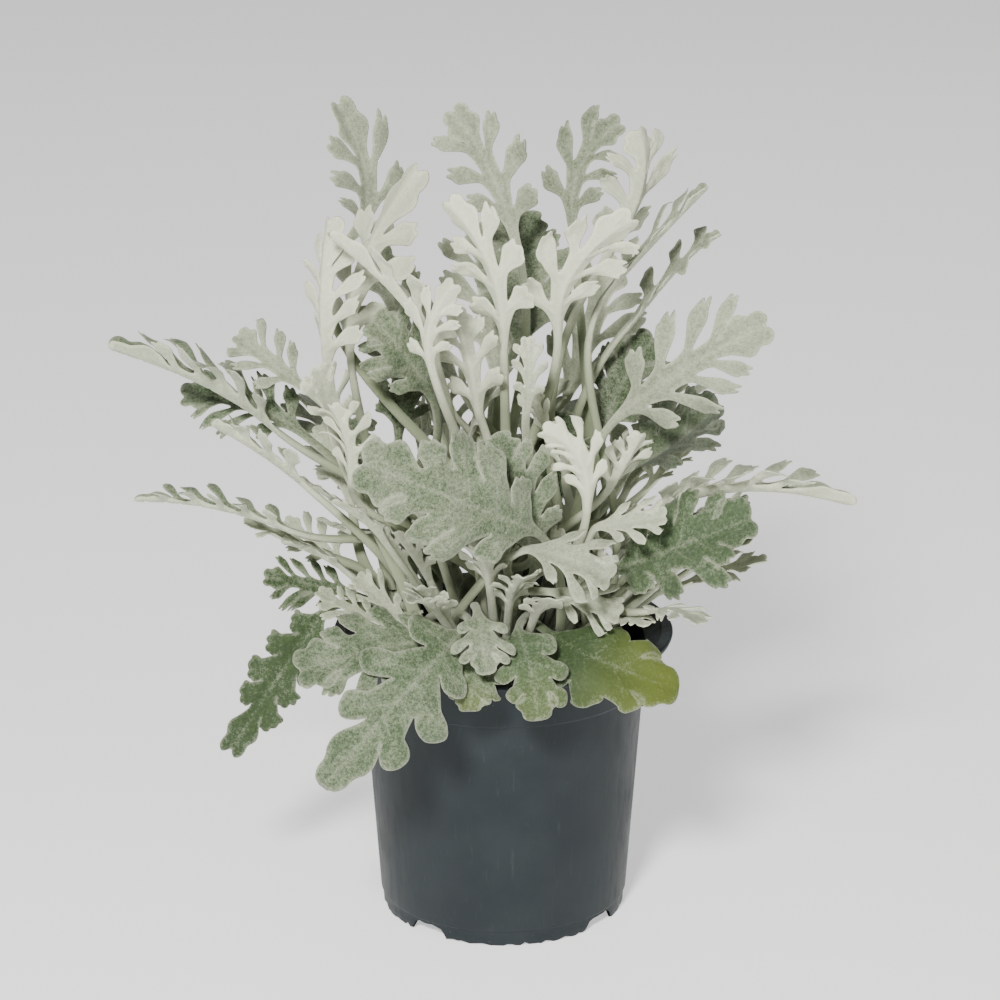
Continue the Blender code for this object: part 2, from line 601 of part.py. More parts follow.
def swollen(verts, faces, amount):
    """The same skin moved out by a clearance, for testing what lies close."""
    corners = verts[np.array(faces)]
    facing = np.cross(corners[:, 1] - corners[:, 0], corners[:, 2] - corners[:, 0])
    normals = np.zeros_like(verts)
    for k in range(3):
        np.add.at(normals, np.array(faces)[:, k], facing)
    if np.sum(corners[:, 0] * facing) < 0.0:
        normals = -normals
    return verts + unit(normals) * amount


def skin_tree(verts, faces):
    """A search tree of a skin's triangles with its lowest and highest corner."""
    return BVHTree.FromPolygons(verts.tolist(), faces), verts.min(axis=0), verts.max(axis=0)


def object_tree(obj):
    obj.data.calc_loop_triangles()
    verts = np.array([tuple(v.co / MM) for v in obj.data.vertices])
    return skin_tree(verts, [tuple(t.vertices) for t in obj.data.loop_triangles])


def root_choices(spec, used):
    """Places along the branches where the leaf can grow, the most natural first."""
    heel = Vector(spec[4])
    found = []
    for name, points in STEMS.items():
        for step in range(3, 20):
            share = step / 20.0
            place, along = bend(points, share)
            reach = heel - place
            outward = reach - along * reach.dot(along)
            if outward.length < 1.0:
                continue
            outward.normalize()
            length = reach.length
            climb = reach.z / length
            crowd = sum(max(0.0, 9.0 - (place - other).length) for other in used)
            cost = abs(length - 85.0) * 0.6 + max(0.0, 0.25 - climb) * 60.0 + 2.5 * crowd
            cost += max(0.0, 0.2 - along.dot(reach) / length) * 60.0
            cost += max(0.0, 150.0 - place.z) * 0.15
            found.append((cost, name, share))
    return sorted(found)[:8]


def root_frame(spec, name, share):
    place, along = bend(STEMS[name], share)
    reach = Vector(spec[4]) - place
    outward = (reach - along * reach.dot(along)).normalized()
    start = (0.5 * outward + 0.87 * along).normalized()
    clear = stem_radius(share) + GAP + 0.87 * STALK_HALF_THICKNESS - 0.1
    root = place + clear * outward
    return np.array(root), np.array(start), place


SHIFTS = sorted(
    (abs(dx) * 1.2 + abs(dy) * 0.6 + abs(dz) * 1.2 + abs(bow) * 0.25 + 2.0 * pick, dx, dy, dz, bow, pick)
    for dx in (0, -4, 4, -8, 8)
    for dy in (0, -5, 5, -10, 10, -16, 16, -22, 22)
    for dz in (0, -4, 4, 8)
    for bow in (0, -7, 7, -14, 14)
    for pick in range(8)
)
MOST_TRIES = 5000


def crossings(verts, solid, obstacles, limit):
    """Counts the triangles of other pieces that a leaf runs through, up to a limit."""
    low = verts.min(axis=0)
    high = verts.max(axis=0)
    near = [tree for tree, lowest, highest in obstacles
            if (low <= highest).all() and (high >= lowest).all()]
    skin = BVHTree.FromPolygons(verts.tolist(), solid)
    hits = 0
    for tree in near:
        hits += len(skin.overlap(tree))
        if hits >= limit:
            break
    return hits


def settle_leaf(spec, obstacles, used):
    """Finds the first stance, from the one wanted outwards, in which the leaf touches nothing."""
    roots = root_choices(spec, used)
    length = (math.dist(spec[4], spec[5]) + math.dist(spec[5], spec[6])) * 1.01
    flat = None
    best = None
    for _, dx, dy, dz, bow, pick in SHIFTS[:MOST_TRIES]:
        root, start, place = root_frame(spec, roots[pick][1], roots[pick][2])
        spine = leaf_spine(spec, root, start, np.array([dx, dy, dz], dtype=float), bow)
        if flat is None:
            stalk = float(np.sum(np.linalg.norm(np.diff(spine[0][:SPINE_STEPS + 1], axis=0), axis=1)))
            flat, faces, border = flat_leaf(spec, length, stalk)
        top, under = leaf_surface(spec, spine, flat, length, stalk)
        verts, solid = leaf_mesh(top, under, faces, border)
        grown = swollen(verts, solid, CLEARANCE)
        hits = crossings(grown, solid, obstacles, best[0] if best else 100000)
        if best is None or hits < best[0]:
            best = (hits, verts, solid, root, place, grown)
        if hits == 0:
            break
    return best


def build_leaves(parent, obstacles):
    silver = material("silver_felt", SILVER, 0.92)
    green = material("green_felt", GREEN, 0.85)
    used = []
    for spec in LEAVES:
        hits, verts, solid, root, place, grown = settle_leaf(spec, obstacles, used)
        used.append(place)
        obstacles.append(skin_tree(grown, solid))
        if hits:
            print("leaf", spec[0], "still crosses", hits)
        add_object("leaf_" + spec[0], verts - root, solid,
                   green if spec[0] in GREEN_LEAVES else silver, tuple(root), parent)


def main():
    clear_scene()
    plant = bpy.data.objects.new("dusty_miller", None)
    bpy.context.scene.collection.objects.link(plant)
    pot = build_pot(plant)
    soil = build_soil(plant)
    crown = build_crown(plant)
    build_leaves(plant, [object_tree(pot), object_tree(soil), object_tree(crown)])


main()
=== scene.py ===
import math
import random

import bpy
import numpy as np
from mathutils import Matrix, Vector, noise
from mathutils.bvhtree import BVHTree
from mathutils.geometry import delaunay_2d_cdt
from mathutils.kdtree import KDTree


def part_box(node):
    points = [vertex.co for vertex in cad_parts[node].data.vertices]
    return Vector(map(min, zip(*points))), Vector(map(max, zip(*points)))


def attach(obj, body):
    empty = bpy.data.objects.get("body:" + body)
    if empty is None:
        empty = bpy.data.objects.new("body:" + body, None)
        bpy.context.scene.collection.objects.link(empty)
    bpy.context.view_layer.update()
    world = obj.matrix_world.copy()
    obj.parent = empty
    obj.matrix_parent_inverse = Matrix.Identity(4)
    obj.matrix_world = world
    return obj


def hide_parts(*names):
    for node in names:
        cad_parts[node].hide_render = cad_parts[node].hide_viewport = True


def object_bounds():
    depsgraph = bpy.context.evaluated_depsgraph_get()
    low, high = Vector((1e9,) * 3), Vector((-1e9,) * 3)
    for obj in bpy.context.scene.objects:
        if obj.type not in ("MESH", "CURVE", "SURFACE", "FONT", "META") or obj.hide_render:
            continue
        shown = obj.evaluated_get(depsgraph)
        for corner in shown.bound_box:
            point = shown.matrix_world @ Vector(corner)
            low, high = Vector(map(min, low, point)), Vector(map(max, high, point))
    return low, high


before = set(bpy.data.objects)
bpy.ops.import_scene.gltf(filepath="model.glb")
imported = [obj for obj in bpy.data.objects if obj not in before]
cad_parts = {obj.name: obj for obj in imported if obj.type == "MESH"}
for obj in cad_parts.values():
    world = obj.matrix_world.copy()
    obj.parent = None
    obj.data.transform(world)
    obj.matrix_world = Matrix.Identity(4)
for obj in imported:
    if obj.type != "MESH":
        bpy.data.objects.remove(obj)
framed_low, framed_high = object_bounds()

# The potted dusty miller, dressed: every leaf is rebuilt as a finely cut, felted blade on the
# centre line of its solid, the stems get smooth felted bark, the soil crumbs, and the pot its
# moulded edges. Lengths are millimetres until MM turns them into metres.
MM = 0.001

# Sizes shared with the solids (mm).
POT_HEIGHT = 147.0
RIM_RADIUS = 85.0
RIM_LIP_HEIGHT = 3.4
RIM_INNER_RADIUS = 79.3
COLLAR_RADIUS = 72.6
COLLAR_FOOT_Z = 121.0
WALL_TOP_RADIUS = 70.7
WALL_FOOT_RADIUS = 62.8
WALL_FOOT_Z = 8.2
WALL_THICKNESS = 1.6
FOOT_RADIUS = 61.8
FOOT_RING_THICKNESS = 1.7
PLATE_UNDERSIDE_Z = 7.0
PLATE_THICKNESS = 1.6
FOOT_COUNT = 4
FOOT_NOTCH_ANGLE = 20.0
FOOT_NOTCH_HEIGHT = 6.6
FOOT_TURN = 7.0
DRAIN_HOLE_RADIUS = 4.5
DRAIN_CIRCLE_RADIUS = 46.0
GAP = 0.3
SOIL_MOUND = 3.0
TRUNK_RADIUS = 11.0
TRUNK_FOOT_Z = 96.0
TRUNK_TOP_Z = 131.0
STEM_FOOT_RADIUS = 4.4
STEM_TIP_RADIUS = 2.9
STALK_HALF_WIDTH = 2.3
HEEL_HALF_WIDTH = 1.7
STALK_HALF_THICKNESS = 1.6
RIB_HALF_THICKNESS = 1.4
TIP_HALF_THICKNESS = 0.6
EDGE_HALF_THICKNESS = 0.45
STALK_EDGE_HALF_THICKNESS = 0.9
RIB_BAND = 1.9
SPINE_STEPS = 24
SOIL_EDGE_Z = 117.0
SOIL_RADIUS = 68.3

# The finer pot and soil.
POT_SIDES = 180
CRUMBS = 620

# Small young leaves that only the dressed plant has, and how far felt may pass its box (mm).
YOUNG_LEAVES = 56
YOUNG_TRIES = 1900
BOX_SLACK = 3.0

# The camera of the photograph, and the lights (watts).
PHOTO_PIXELS = 1000.0
FOCAL_PIXELS = 3229.0
CAMERA_RISE = 18.0
CAMERA_DISTANCE = 1600.0
CAMERA_TARGET = (-1.75, 0.0, 213.5)
WORLD_LIGHT = 0.19
FLOOR_GLOW = 0.66
KEY_LIGHT = 104.0
FILL_LIGHT = 5.0
BACK_LIGHT = 4.0

# How thick the felt is, from 0 for bare green to 1 for white: for each kind of blade, for the
# smaller leaves, for green leaves, and for single leaves that differ from their kind. Below 0
# the upper side is bare and the underside thin.
KIND_FELT = {"cut": 0.34, "comb": 0.30, "broad": 0.12, "young": 0.58}
YOUNG_FELT = 0.38
FAN_FELT = 0.16
GREEN_FELT = 0.02
FELT_SPREAD = 0.06
FELT = {"low_1": 0.07, "low_2": 0.06, "low_3": -0.05, "low_4": 0.14, "low_5": 0.03, "low_6": 0.01,
        "low_7": -0.07, "low_8": 0.02, "middle_1": 0.11, "middle_7": 0.10, "left_1": 0.11,
        "left_2": 0.06, "left_4": 0.10, "left_3": 0.19, "right_2": -0.30, "right_4": -0.02,
        "top_5": 0.19, "top_1": 0.33, "upper_left_1": 0.31, "right_1": 0.33, "top_2": 0.44,
        "top_3": 0.44, "right_7": 0.36, "right_8": 0.36}

# How much the felt gains on the underside, along the veins and at the rim.
UNDERSIDE_FELT = 0.40
VEIN_FELT = 0.12
RIM_FELT = 0.26

# Old leaves that yellow towards their outer end, and their colour there.
YELLOWED = (0.080, 0.108, 0.007)
WARM = {"low_7": 1.0, "low_5": 0.55, "low_6": 0.35}

# The stalks as they show, a little fuller than in the solids (mm).
SHOWN_STALK_HALF_WIDTH = 3.0
SHOWN_HEEL_HALF_WIDTH = 1.9
SHOWN_STALK_HALF_THICKNESS = 2.1

# How finely the leaves are meshed (mm).
EDGE_STEP = 1.1
GRID_STEP = 2.0
RIM_INSET = 0.45
STALK_STEP = 2.5
STALK_SINK = 5.0

# The branches, the kinds of blade and the leaves below are the solids' own.
# Short woody branches from the crown: foot, bend and tip of each centre line (mm).
STEMS = {
    "centre": ((0, 2, 124), (2, 6, 172), (3, 10, 224)),
    "centre_left": ((-4, 1, 124), (-20, 2, 162), (-34, -2, 206)),
    "centre_right": ((4, 1, 124), (20, 1, 162), (34, 2, 208)),
    "left": ((-5, 0, 124), (-36, -6, 145), (-64, -12, 176)),
    "right": ((5, 0, 124), (36, -8, 145), (60, -14, 176)),
    "front": ((0, -5, 124), (3, -30, 146), (4, -50, 180)),
    "front_left": ((-4, -4, 124), (-24, -32, 141), (-44, -52, 164)),
    "front_right": ((4, -4, 124), (24, -30, 141), (42, -48, 164)),
    "back": ((0, 5, 124), (0, 34, 147), (-2, 58, 188)),
    "back_left": ((-4, 4, 124), (-28, 26, 145), (-50, 44, 180)),
    "back_right": ((4, 4, 124), (28, 26, 145), (50, 42, 180)),
}

# How each kind of blade is cut: how far along a lobe the bay beside it reaches ("neck") and how
# wide the lobe is there ("waist"), where it starts to narrow ("shoulder"), how much of its room
# it fills, the angles between rib and lobes at the heel and near the tip, the stretch of rib
# that bears lobes, and the half width of the end lobe (share of the blade's half width).
KINDS = {
    "cut": {"neck": 0.20, "fill": 0.74, "waist": 0.50, "shoulder": 0.74, "angles": (58, 38),
            "span": (0.03, 0.68), "end": 0.40},
    "comb": {"neck": 0.20, "fill": 0.66, "waist": 0.55, "shoulder": 0.66, "angles": (66, 48),
             "span": (0.03, 0.80), "end": 0.30},
    "broad": {"neck": 0.62, "fill": 1.00, "waist": 0.86, "shoulder": 0.84, "angles": (60, 34),
              "span": (0.02, 0.78), "end": 0.52},
    "young": {"neck": 0.40, "fill": 0.84, "waist": 0.60, "shoulder": 0.72, "angles": (50, 30),
              "span": (0.05, 0.72), "end": 0.46},
}

# Which way the upper face of a blade looks.
TO_FRONT = (0.05, -1.0, 0.25)
FRONT_UP = (0.0, -0.7, 0.75)
TO_BACK = (0.2, 1.0, 0.25)
UPWARD = (0.05, 0.12, 1.0)

# Every leaf: name, kind of blade, pairs of lobes, half width, heel, middle and tip of the
# blade (mm), the way its upper face looks, and the angle each half is folded up (degrees).
LEAVES = [
    ("middle_1", "broad", 4, 29, (12, -76, 224), (-23, -98, 246), (-68, -100, 265), TO_FRONT, 8),
    ("low_2", "cut", 4, 27, (-22, -88, 174), (-49, -116, 153), (-86, -116, 108), TO_FRONT, 10),
    ("low_1", "broad", 4, 24, (-32, -86, 171), (-62, -98, 171), (-98, -104, 162), FRONT_UP, 8),
    ("low_7", "broad", 4, 24, (25, -76, 169), (49, -92, 162), (84, -88, 147), FRONT_UP, 6),
    ("low_6", "broad", 3, 17, (7, -84, 174), (13, -104, 162), (16, -106, 138), TO_FRONT, 10),
    ("low_5", "broad", 3, 13, (-8, -90, 167), (-14, -104, 158), (-16, -106, 145), TO_FRONT, 14),
    ("low_4", "young", 3, 14, (-12, -72, 184), (-10, -84, 176), (-8, -92, 162), FRONT_UP, 14),
    ("left_1", "cut", 5, 25, (-113, -6, 253), (-146, -12, 277), (-192, -16, 296), UPWARD, 46),
    ("left_4", "comb", 5, 15, (-103, -34, 209), (-141, -42, 224), (-178, -46, 228), UPWARD, 42),
    ("right_3", "cut", 5, 22, (74, -24, 216), (118, -34, 230), (170, -36, 222), UPWARD, 46),
    ("right_1", "cut", 4, 25, (58, -12, 262), (90, -22, 289), (128, -26, 311), TO_FRONT, 14),
    ("top_3", "cut", 3, 23, (26, -24, 309), (34, -36, 341), (62, -42, 367), (-0.35, 1.0, 0.3), 16),
    ("top_2", "cut", 3, 18, (0, -34, 307), (-7, -44, 345), (-27, -44, 376), (0.3, 1.0, 0.3), 18),
    ("upper_left_1", "cut", 3, 21, (-74, 22, 343), (-67, 30, 368), (-82, 34, 408), (0.55, -0.8, 0.25), 20),
    ("top_1", "cut", 3, 21, (5, 18, 344), (-8, 24, 377), (-26, 26, 405), (0.0, -0.9, 0.35), 20),
    ("top_4", "cut", 3, 23, (49, 8, 333), (66, 6, 370), (64, 8, 399), (-0.6, 0.75, 0.3), 24),
    ("top_5", "cut", 3, 19, (34, 36, 346), (39, 44, 374), (59, 46, 394), (-0.4, -0.9, 0.25), 22),
    ("upper_left_2", "cut", 4, 23, (-85, -22, 288), (-86, -32, 326), (-82, -26, 364), (0.75, 0.65, 0.2), 32),
    ("upper_left_3", "cut", 3, 21, (-71, -8, 293), (-63, -12, 338), (-35, -4, 383), (0.6, 0.8, 0.25), 28),
    ("upper_left_4", "cut", 3, 21, (-32, -20, 295), (-49, -30, 328), (-83, -34, 360), None, 34),
    ("top_6", "cut", 3, 19, (51, 0, 321), (77, 2, 349), (99, 4, 371), None, 26),
    ("top_7", "comb", 3, 17, (63, 14, 301), (88, 22, 329), (107, 26, 342), None, 30),
    ("right_2", "broad", 3, 25, (68, 4, 232), (88, 8, 244), (108, 14, 260), (-0.4, 0.9, 0.3), 20),
    ("right_4", "broad", 4, 26, (53, -34, 193), (83, -48, 210), (116, -52, 225), FRONT_UP, 18),
    ("right_7", "young", 3, 19, (13, -72, 214), (32, -84, 213), (51, -88, 204), FRONT_UP, 12),
    ("right_8", "young", 3, 15, (25, -60, 188), (40, -70, 187), (56, -74, 181), FRONT_UP, 12),
    ("right_5", "young", 4, 14, (40, -56, 229), (35, -66, 257), (17, -74, 272), None, 20),
    ("right_6", "young", 3, 13, (46, -52, 217), (61, -60, 222), (78, -66, 227), FRONT_UP, 16),
    ("right_9", "cut", 3, 14, (51, -34, 230), (59, -42, 247), (66, -44, 262), (-0.5, 0.85, 0.3), 20),
    ("right_10", "broad", 4, 20, (43, 22, 248), (52, 28, 268), (68, 34, 290), (-0.3, -0.9, 0.4), 12),
    ("left_2", "cut", 4, 20, (-101, 12, 245), (-130, 18, 259), (-161, 22, 260), FRONT_UP, 18),
    ("left_3", "cut", 3, 18, (-98, -26, 231), (-119, -34, 250), (-141, -38, 264), UPWARD, 40),
    ("left_5", "cut", 4, 15, (-77, -14, 170), (-98, -16, 175), (-119, -18, 179), FRONT_UP, 16),
    ("left_6", "young", 3, 14, (-83, -44, 262), (-84, -50, 278), (-89, -54, 295), (0.4, -0.9, 0.4), 14),
    ("left_7", "cut", 3, 17, (-100, 4, 273), (-116, 8, 285), (-131, 12, 297), FRONT_UP, 20),
    ("left_8", "comb", 4, 19, (-73, -48, 238), (-74, -56, 261), (-82, -60, 281), (0.6, 0.8, 0.2), 26),
    ("low_3", "broad", 4, 15, (-90, -30, 163), (-112, -36, 132), (-137, -34, 92), TO_FRONT, 24),
    ("middle_2", "broad", 4, 24, (13, -62, 211), (3, -72, 243), (-8, -74, 269), TO_FRONT, 12),
    ("middle_4", "cut", 3, 14, (-34, -46, 299), (-34, -50, 321), (-22, -52, 342), (0.35, 1.0, 0.2), 20),
    ("middle_5", "cut", 3, 16, (-12, -50, 270), (-17, -58, 302), (-24, -60, 325), (0.2, 1.0, 0.3), 20),
    ("middle_6", "young", 3, 9, (11, -50, 277), (12, -54, 295), (11, -56, 313), TO_FRONT, 24),
    ("middle_7", "broad", 4, 20, (-37, -6, 274), (-49, -14, 295), (-64, -16, 312), (0.35, -0.9, 0.3), 12),
    ("middle_8", "broad", 4, 18, (22, -8, 210), (25, -6, 234), (28, -2, 256), TO_FRONT, 12),
    ("middle_9", "broad", 3, 17, (-52, 2, 248), (-50, 2, 266), (-46, 4, 285), (0.5, -0.8, 0.4), 12),
    ("low_8", "broad", 3, 14, (35, -14, 145), (45, -6, 152), (56, 2, 161), FRONT_UP, 10),
    ("back_1", "cut", 3, 26, (-38, 52, 252), (-54, 74, 288), (-66, 84, 322), None, 16),
    ("back_2", "cut", 3, 26, (-4, 56, 262), (-8, 80, 300), (-12, 88, 336), None, 16),
    ("back_3", "cut", 3, 26, (32, 54, 250), (46, 76, 284), (60, 86, 316), None, 16),
    ("back_4", "cut", 3, 26, (62, 52, 206), (80, 78, 230), (90, 104, 240), None, 18),
    ("back_5", "broad", 4, 27, (20, 72, 204), (28, 102, 224), (34, 132, 226), None, 14),
    ("back_6", "cut", 3, 26, (-24, 72, 208), (-32, 102, 230), (-40, 130, 234), None, 16),
    ("back_7", "broad", 4, 27, (-66, 54, 208), (-84, 78, 228), (-92, 106, 234), None, 16),
    ("back_8", "broad", 4, 24, (44, 66, 164), (60, 92, 166), (72, 116, 152), None, 10),
    ("back_9", "cut", 3, 24, (-2, 82, 168), (-4, 112, 168), (-6, 144, 146), None, 12),
    ("back_10", "broad", 4, 24, (-46, 64, 166), (-62, 92, 168), (-76, 116, 154), None, 12),
    ("back_11", "broad", 4, 25, (8, 30, 286), (10, 50, 318), (8, 60, 346), None, 14),
]

# Leaves with so little felt that they look green.
GREEN_LEAVES = ("low_3", "low_7", "low_8", "middle_8", "middle_9", "right_2", "right_10", "left_5")

# One lobe's edge, along its axis (share of its length) and across (half widths), from the
# bay below it to the bay above it. The bays lie BAYS of the way along the lobe.
LOBE_EDGES = {
    "cut": [(0.42, -0.66), (0.58, -0.90), (0.70, -1.20), (0.82, -1.22), (0.86, -0.92), (0.91, -0.80),
            (1.00, -0.62), (1.05, -0.28), (1.00, 0.00), (0.95, 0.08), (1.02, 0.24), (1.09, 0.56),
            (1.03, 0.86), (0.91, 0.90), (0.87, 1.10), (0.75, 1.24), (0.61, 0.98), (0.44, 0.68)],
    "round": [(0.56, -0.94), (0.68, -1.03), (0.80, -1.04), (0.93, -0.92), (1.01, -0.60), (1.05, -0.15),
              (1.04, 0.34), (0.99, 0.78), (0.89, 1.02), (0.74, 1.06), (0.62, 1.00), (0.54, 0.92)],
    "comb": [(0.44, -0.60), (0.66, -0.88), (0.82, -1.08), (0.96, -0.88), (0.97, -0.50), (1.04, -0.24),
             (1.05, 0.16), (0.99, 0.34), (1.04, 0.62), (0.94, 0.98), (0.76, 1.06), (0.50, 0.66)],
    "broad": [(0.60, -0.86), (0.74, -1.02), (0.86, -1.08), (0.93, -0.88), (0.92, -0.66), (0.99, -0.52),
              (1.06, -0.26), (1.04, 0.00), (0.98, 0.10), (1.04, 0.26), (1.08, 0.52), (1.03, 0.80),
              (0.94, 0.86), (0.92, 1.00), (0.82, 1.10), (0.70, 1.02), (0.58, 0.90)],
    "young": [(0.54, -0.76), (0.72, -1.06), (0.88, -1.00), (0.92, -0.66), (0.99, -0.50), (1.05, -0.14),
              (0.98, 0.04), (1.05, 0.28), (1.02, 0.66), (0.91, 0.74), (0.87, 1.02), (0.72, 1.08),
              (0.58, 0.80)],
}
BAYS = {"cut": 0.26, "round": 0.50, "comb": 0.20, "broad": 0.52, "young": 0.38,
        "low_1": 0.50, "low_3": 0.62, "low_4": 0.50, "low_5": 0.86, "low_6": 0.62, "low_7": 0.86}
ROUND_LEAVES = ("low_2", "low_4", "low_5", "low_6", "low_7")

# Broad and low blades bear their lobes at wider angles than the solids', along a shorter
# stretch of rib, and three of them have fewer pairs.
WIDE_ANGLES = (66, 50)
WIDE_SPAN = (0.03, 0.70)
SHOWN_PAIRS = {"middle_1": 4, "low_7": 3, "low_2": 3}

# Leaves whose stalks take a shorter way than their solids' do, and how much shorter.
DIRECT_STALKS = ("low_4", "low_5", "low_6", "low_7", "low_8", "right_7", "right_8", "right_6")
DIRECT_PULL = 0.20

# The fan of stalks that rises from the crown towards the front.
FAN_LEAVES = 18
FAN_FROM = -168.0
FAN_TO = -12.0

# The veins of a lobe, in the lobe's own units: from and to, and how strong each one is. The
# first leaves the rib itself.
LOBE_VEINS = (((-0.05, 0.00), (0.86, 0.00), 1.0),
              ((0.55, 0.00), (0.92, 0.45), 0.6),
              ((0.50, 0.00), (0.76, -0.62), 0.5))

# The end lobe's edge: along the leaf (share of its length) and across (shares of "end").
END_EDGE = [(0.72, 0.50), (0.77, 0.78), (0.815, 1.08), (0.855, 1.12), (0.885, 0.92), (0.905, 0.80),
            (0.935, 0.90), (0.972, 0.84), (0.998, 0.52), (0.992, 0.24), (0.972, 0.06)]
ROUND_END = [(0.70, 0.66), (0.75, 0.96), (0.80, 1.14), (0.850, 1.08), (0.878, 0.88), (0.90, 0.80),
             (0.940, 0.80), (0.975, 0.58), (0.992, 0.22)]


def add_mesh(name, verts, faces, smooth=True):
    """A mesh object made from corners in millimetres, fixed to the part's one body."""
    mesh = bpy.data.meshes.new(name)
    mesh.from_pydata((np.asarray(verts, dtype=float) * MM).tolist(), [], faces)
    mesh.update()
    if smooth:
        mesh.polygons.foreach_set("use_smooth", [True] * len(mesh.polygons))
    obj = bpy.data.objects.new(name, mesh)
    bpy.context.scene.collection.objects.link(obj)
    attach(obj, "root")
    return obj


def unit(vectors):
    """The same vectors, each one long."""
    return vectors / np.maximum(np.linalg.norm(vectors, axis=-1, keepdims=True), 1e-9)


def add_values(obj, name, values):
    """Stores one number for each vertex, for the materials to read."""
    layer = obj.data.attributes.new(name, "FLOAT", "POINT")
    layer.data.foreach_set("value", np.asarray(values, dtype=np.float32))


def bend(points, share):
    """Point and direction on the quadratic curve through a foot, a bend and a tip."""
    foot, middle, tip = (Vector(p) for p in points)
    control = 2.0 * middle - 0.5 * (foot + tip)
    rest = 1.0 - share
    place = rest * rest * foot + 2.0 * rest * share * control + share * share * tip
    along = 2.0 * rest * (control - foot) + 2.0 * share * (tip - control)
    return place, along.normalized()


def stem_radius(share):
    return STEM_FOOT_RADIUS + (STEM_TIP_RADIUS - STEM_FOOT_RADIUS) * share


def coarse_lobe(kind, half_width):
    """A lobe's corners in the solid leaf: along its axis, and across in half widths."""
    neck = kind["neck"]
    waist = kind["waist"]
    shoulder = kind["shoulder"]
    if half_width < 19:
        return [(neck, -waist), (shoulder + 0.06, -0.96), (1.02, 0.0), (shoulder + 0.08, 0.96),
                (neck + 0.02, waist)]
    points = [(neck, -waist), (shoulder, -0.98), (0.98, -0.60)]
    if kind["neck"] < 0.3:
        points.append((0.92, -0.02))
    return points + [(1.03, 0.54), (shoulder + 0.02, 0.98), (neck + 0.02, waist)]


def lobe_plan(spec, length, shown=False):
    """Axis, length and half width of every lobe, side by side: (side, base, angle, size, half)."""
    name, kind_name, pairs, half_width = spec[:4]
    kind = KINDS[kind_name]
    rng = random.Random(name)
    base_angle, tip_angle = kind["angles"]
    first, last = kind["span"]
    if shown and (kind_name == "broad" or name.startswith("low_")):
        base_angle, tip_angle = WIDE_ANGLES
        first, last = WIDE_SPAN
        pairs = SHOWN_PAIRS.get(name, pairs)
    room = (last - first) * length / pairs
    plan = []
    for side in (1, -1):
        for k in range(pairs):
            share = (k + 0.5) / pairs
            base_x = first * length + room * (k + 0.40 + 0.14 * side)
            angle = math.radians(base_angle + (tip_angle - base_angle) * share + rng.uniform(-5.0, 5.0))
            reach = math.sin(math.pi * (0.22 + 0.58 * share)) ** 1.1
            size = half_width * reach * rng.uniform(0.88, 1.08) / math.sin(angle)
            half = 0.5 * room * math.sin(angle) * kind["fill"] * rng.uniform(0.92, 1.04)
            plan.append((side, base_x, angle, size, half))
    return plan


def on_lobe(lobe, a, b, length, limit=2.0):
    """Puts a point of a lobe, in the lobe's own units, on the flat leaf's positive side."""
    _, base_x, angle, size, half = lobe
    x = base_x + a * size * math.cos(angle) + b * half * math.sin(angle)
    y = a * size * math.sin(angle) - b * half * math.cos(angle)
    return min(x, limit * length), max(y, RIB_BAND)


def round_end(point, half_width, length):
    """Draws lobes near the tip in under a rounded end."""
    x, y = point
    share = x / length
    if share > 0.84:
        share = 0.84 + 0.13 * math.tanh((share - 0.84) / 0.13)
    far = min(max((share - 0.66) / 0.34, 0.0), 1.0)
    ceiling = 1.12 * half_width * math.sqrt(1.0 - far * far)
    return share * length, min(y, ceiling)


def coarse_outline(spec, length, stalk):
    """The solid leaf's outline laid flat: x along the leaf from the heel, y across."""
    kind = KINDS[spec[1]]
    taper = HEEL_HALF_WIDTH - STALK_HALF_WIDTH
    sides = []
    for side in (1, -1):
        points = [(-stalk * (1.0 - k / 3.0), STALK_HALF_WIDTH + taper * k / 3.0) for k in range(4)]
        for lobe in lobe_plan(spec, length):
            if lobe[0] == side:
                points += [on_lobe(lobe, a, b, length, 0.97) for a, b in coarse_lobe(kind, spec[3])]
        end = kind["end"] * spec[3]
        points += [(0.83 * length, end), (0.89 * length, 0.66 * end), (0.985 * length, 0.52 * end)]
        if side == 1:
            points.append((0.955 * length, 0.0))
        sides.append([(x, y * side) for x, y in points])
    return np.array(sides[0] + sides[1][::-1])


def rounded(points, times=2):
    """Cuts the corners of an open line of points until it runs smoothly."""
    line = np.array(points, dtype=float)
    for _ in range(times):
        near = 0.75 * line[:-1] + 0.25 * line[1:]
        far = 0.25 * line[:-1] + 0.75 * line[1:]
        middle = np.stack([near, far], axis=1).reshape(-1, 2)
        line = np.vstack([line[:1], middle, line[-1:]])
    return line


def spaced(line, step):
    """The same line with points an even step apart."""
    far = np.concatenate([[0.0], np.cumsum(np.linalg.norm(np.diff(line, axis=0), axis=1))])
    count = max(4, int(round(far[-1] / step)))
    at = np.linspace(0.0, far[-1], count + 1)
    return np.stack([np.interp(at, far, line[:, 0]), np.interp(at, far, line[:, 1])], axis=1)


def stalk_width(x, stalk):
    """Half width of the stalk as it shows, widest where it clasps the stem."""
    share = np.clip(-x / stalk, 0.0, 1.0)
    return (SHOWN_HEEL_HALF_WIDTH + (SHOWN_STALK_HALF_WIDTH - SHOWN_HEEL_HALF_WIDTH) * share
            + 1.2 * np.clip((-x / stalk - 0.92) / 0.08, 0.0, 1.0) ** 2)


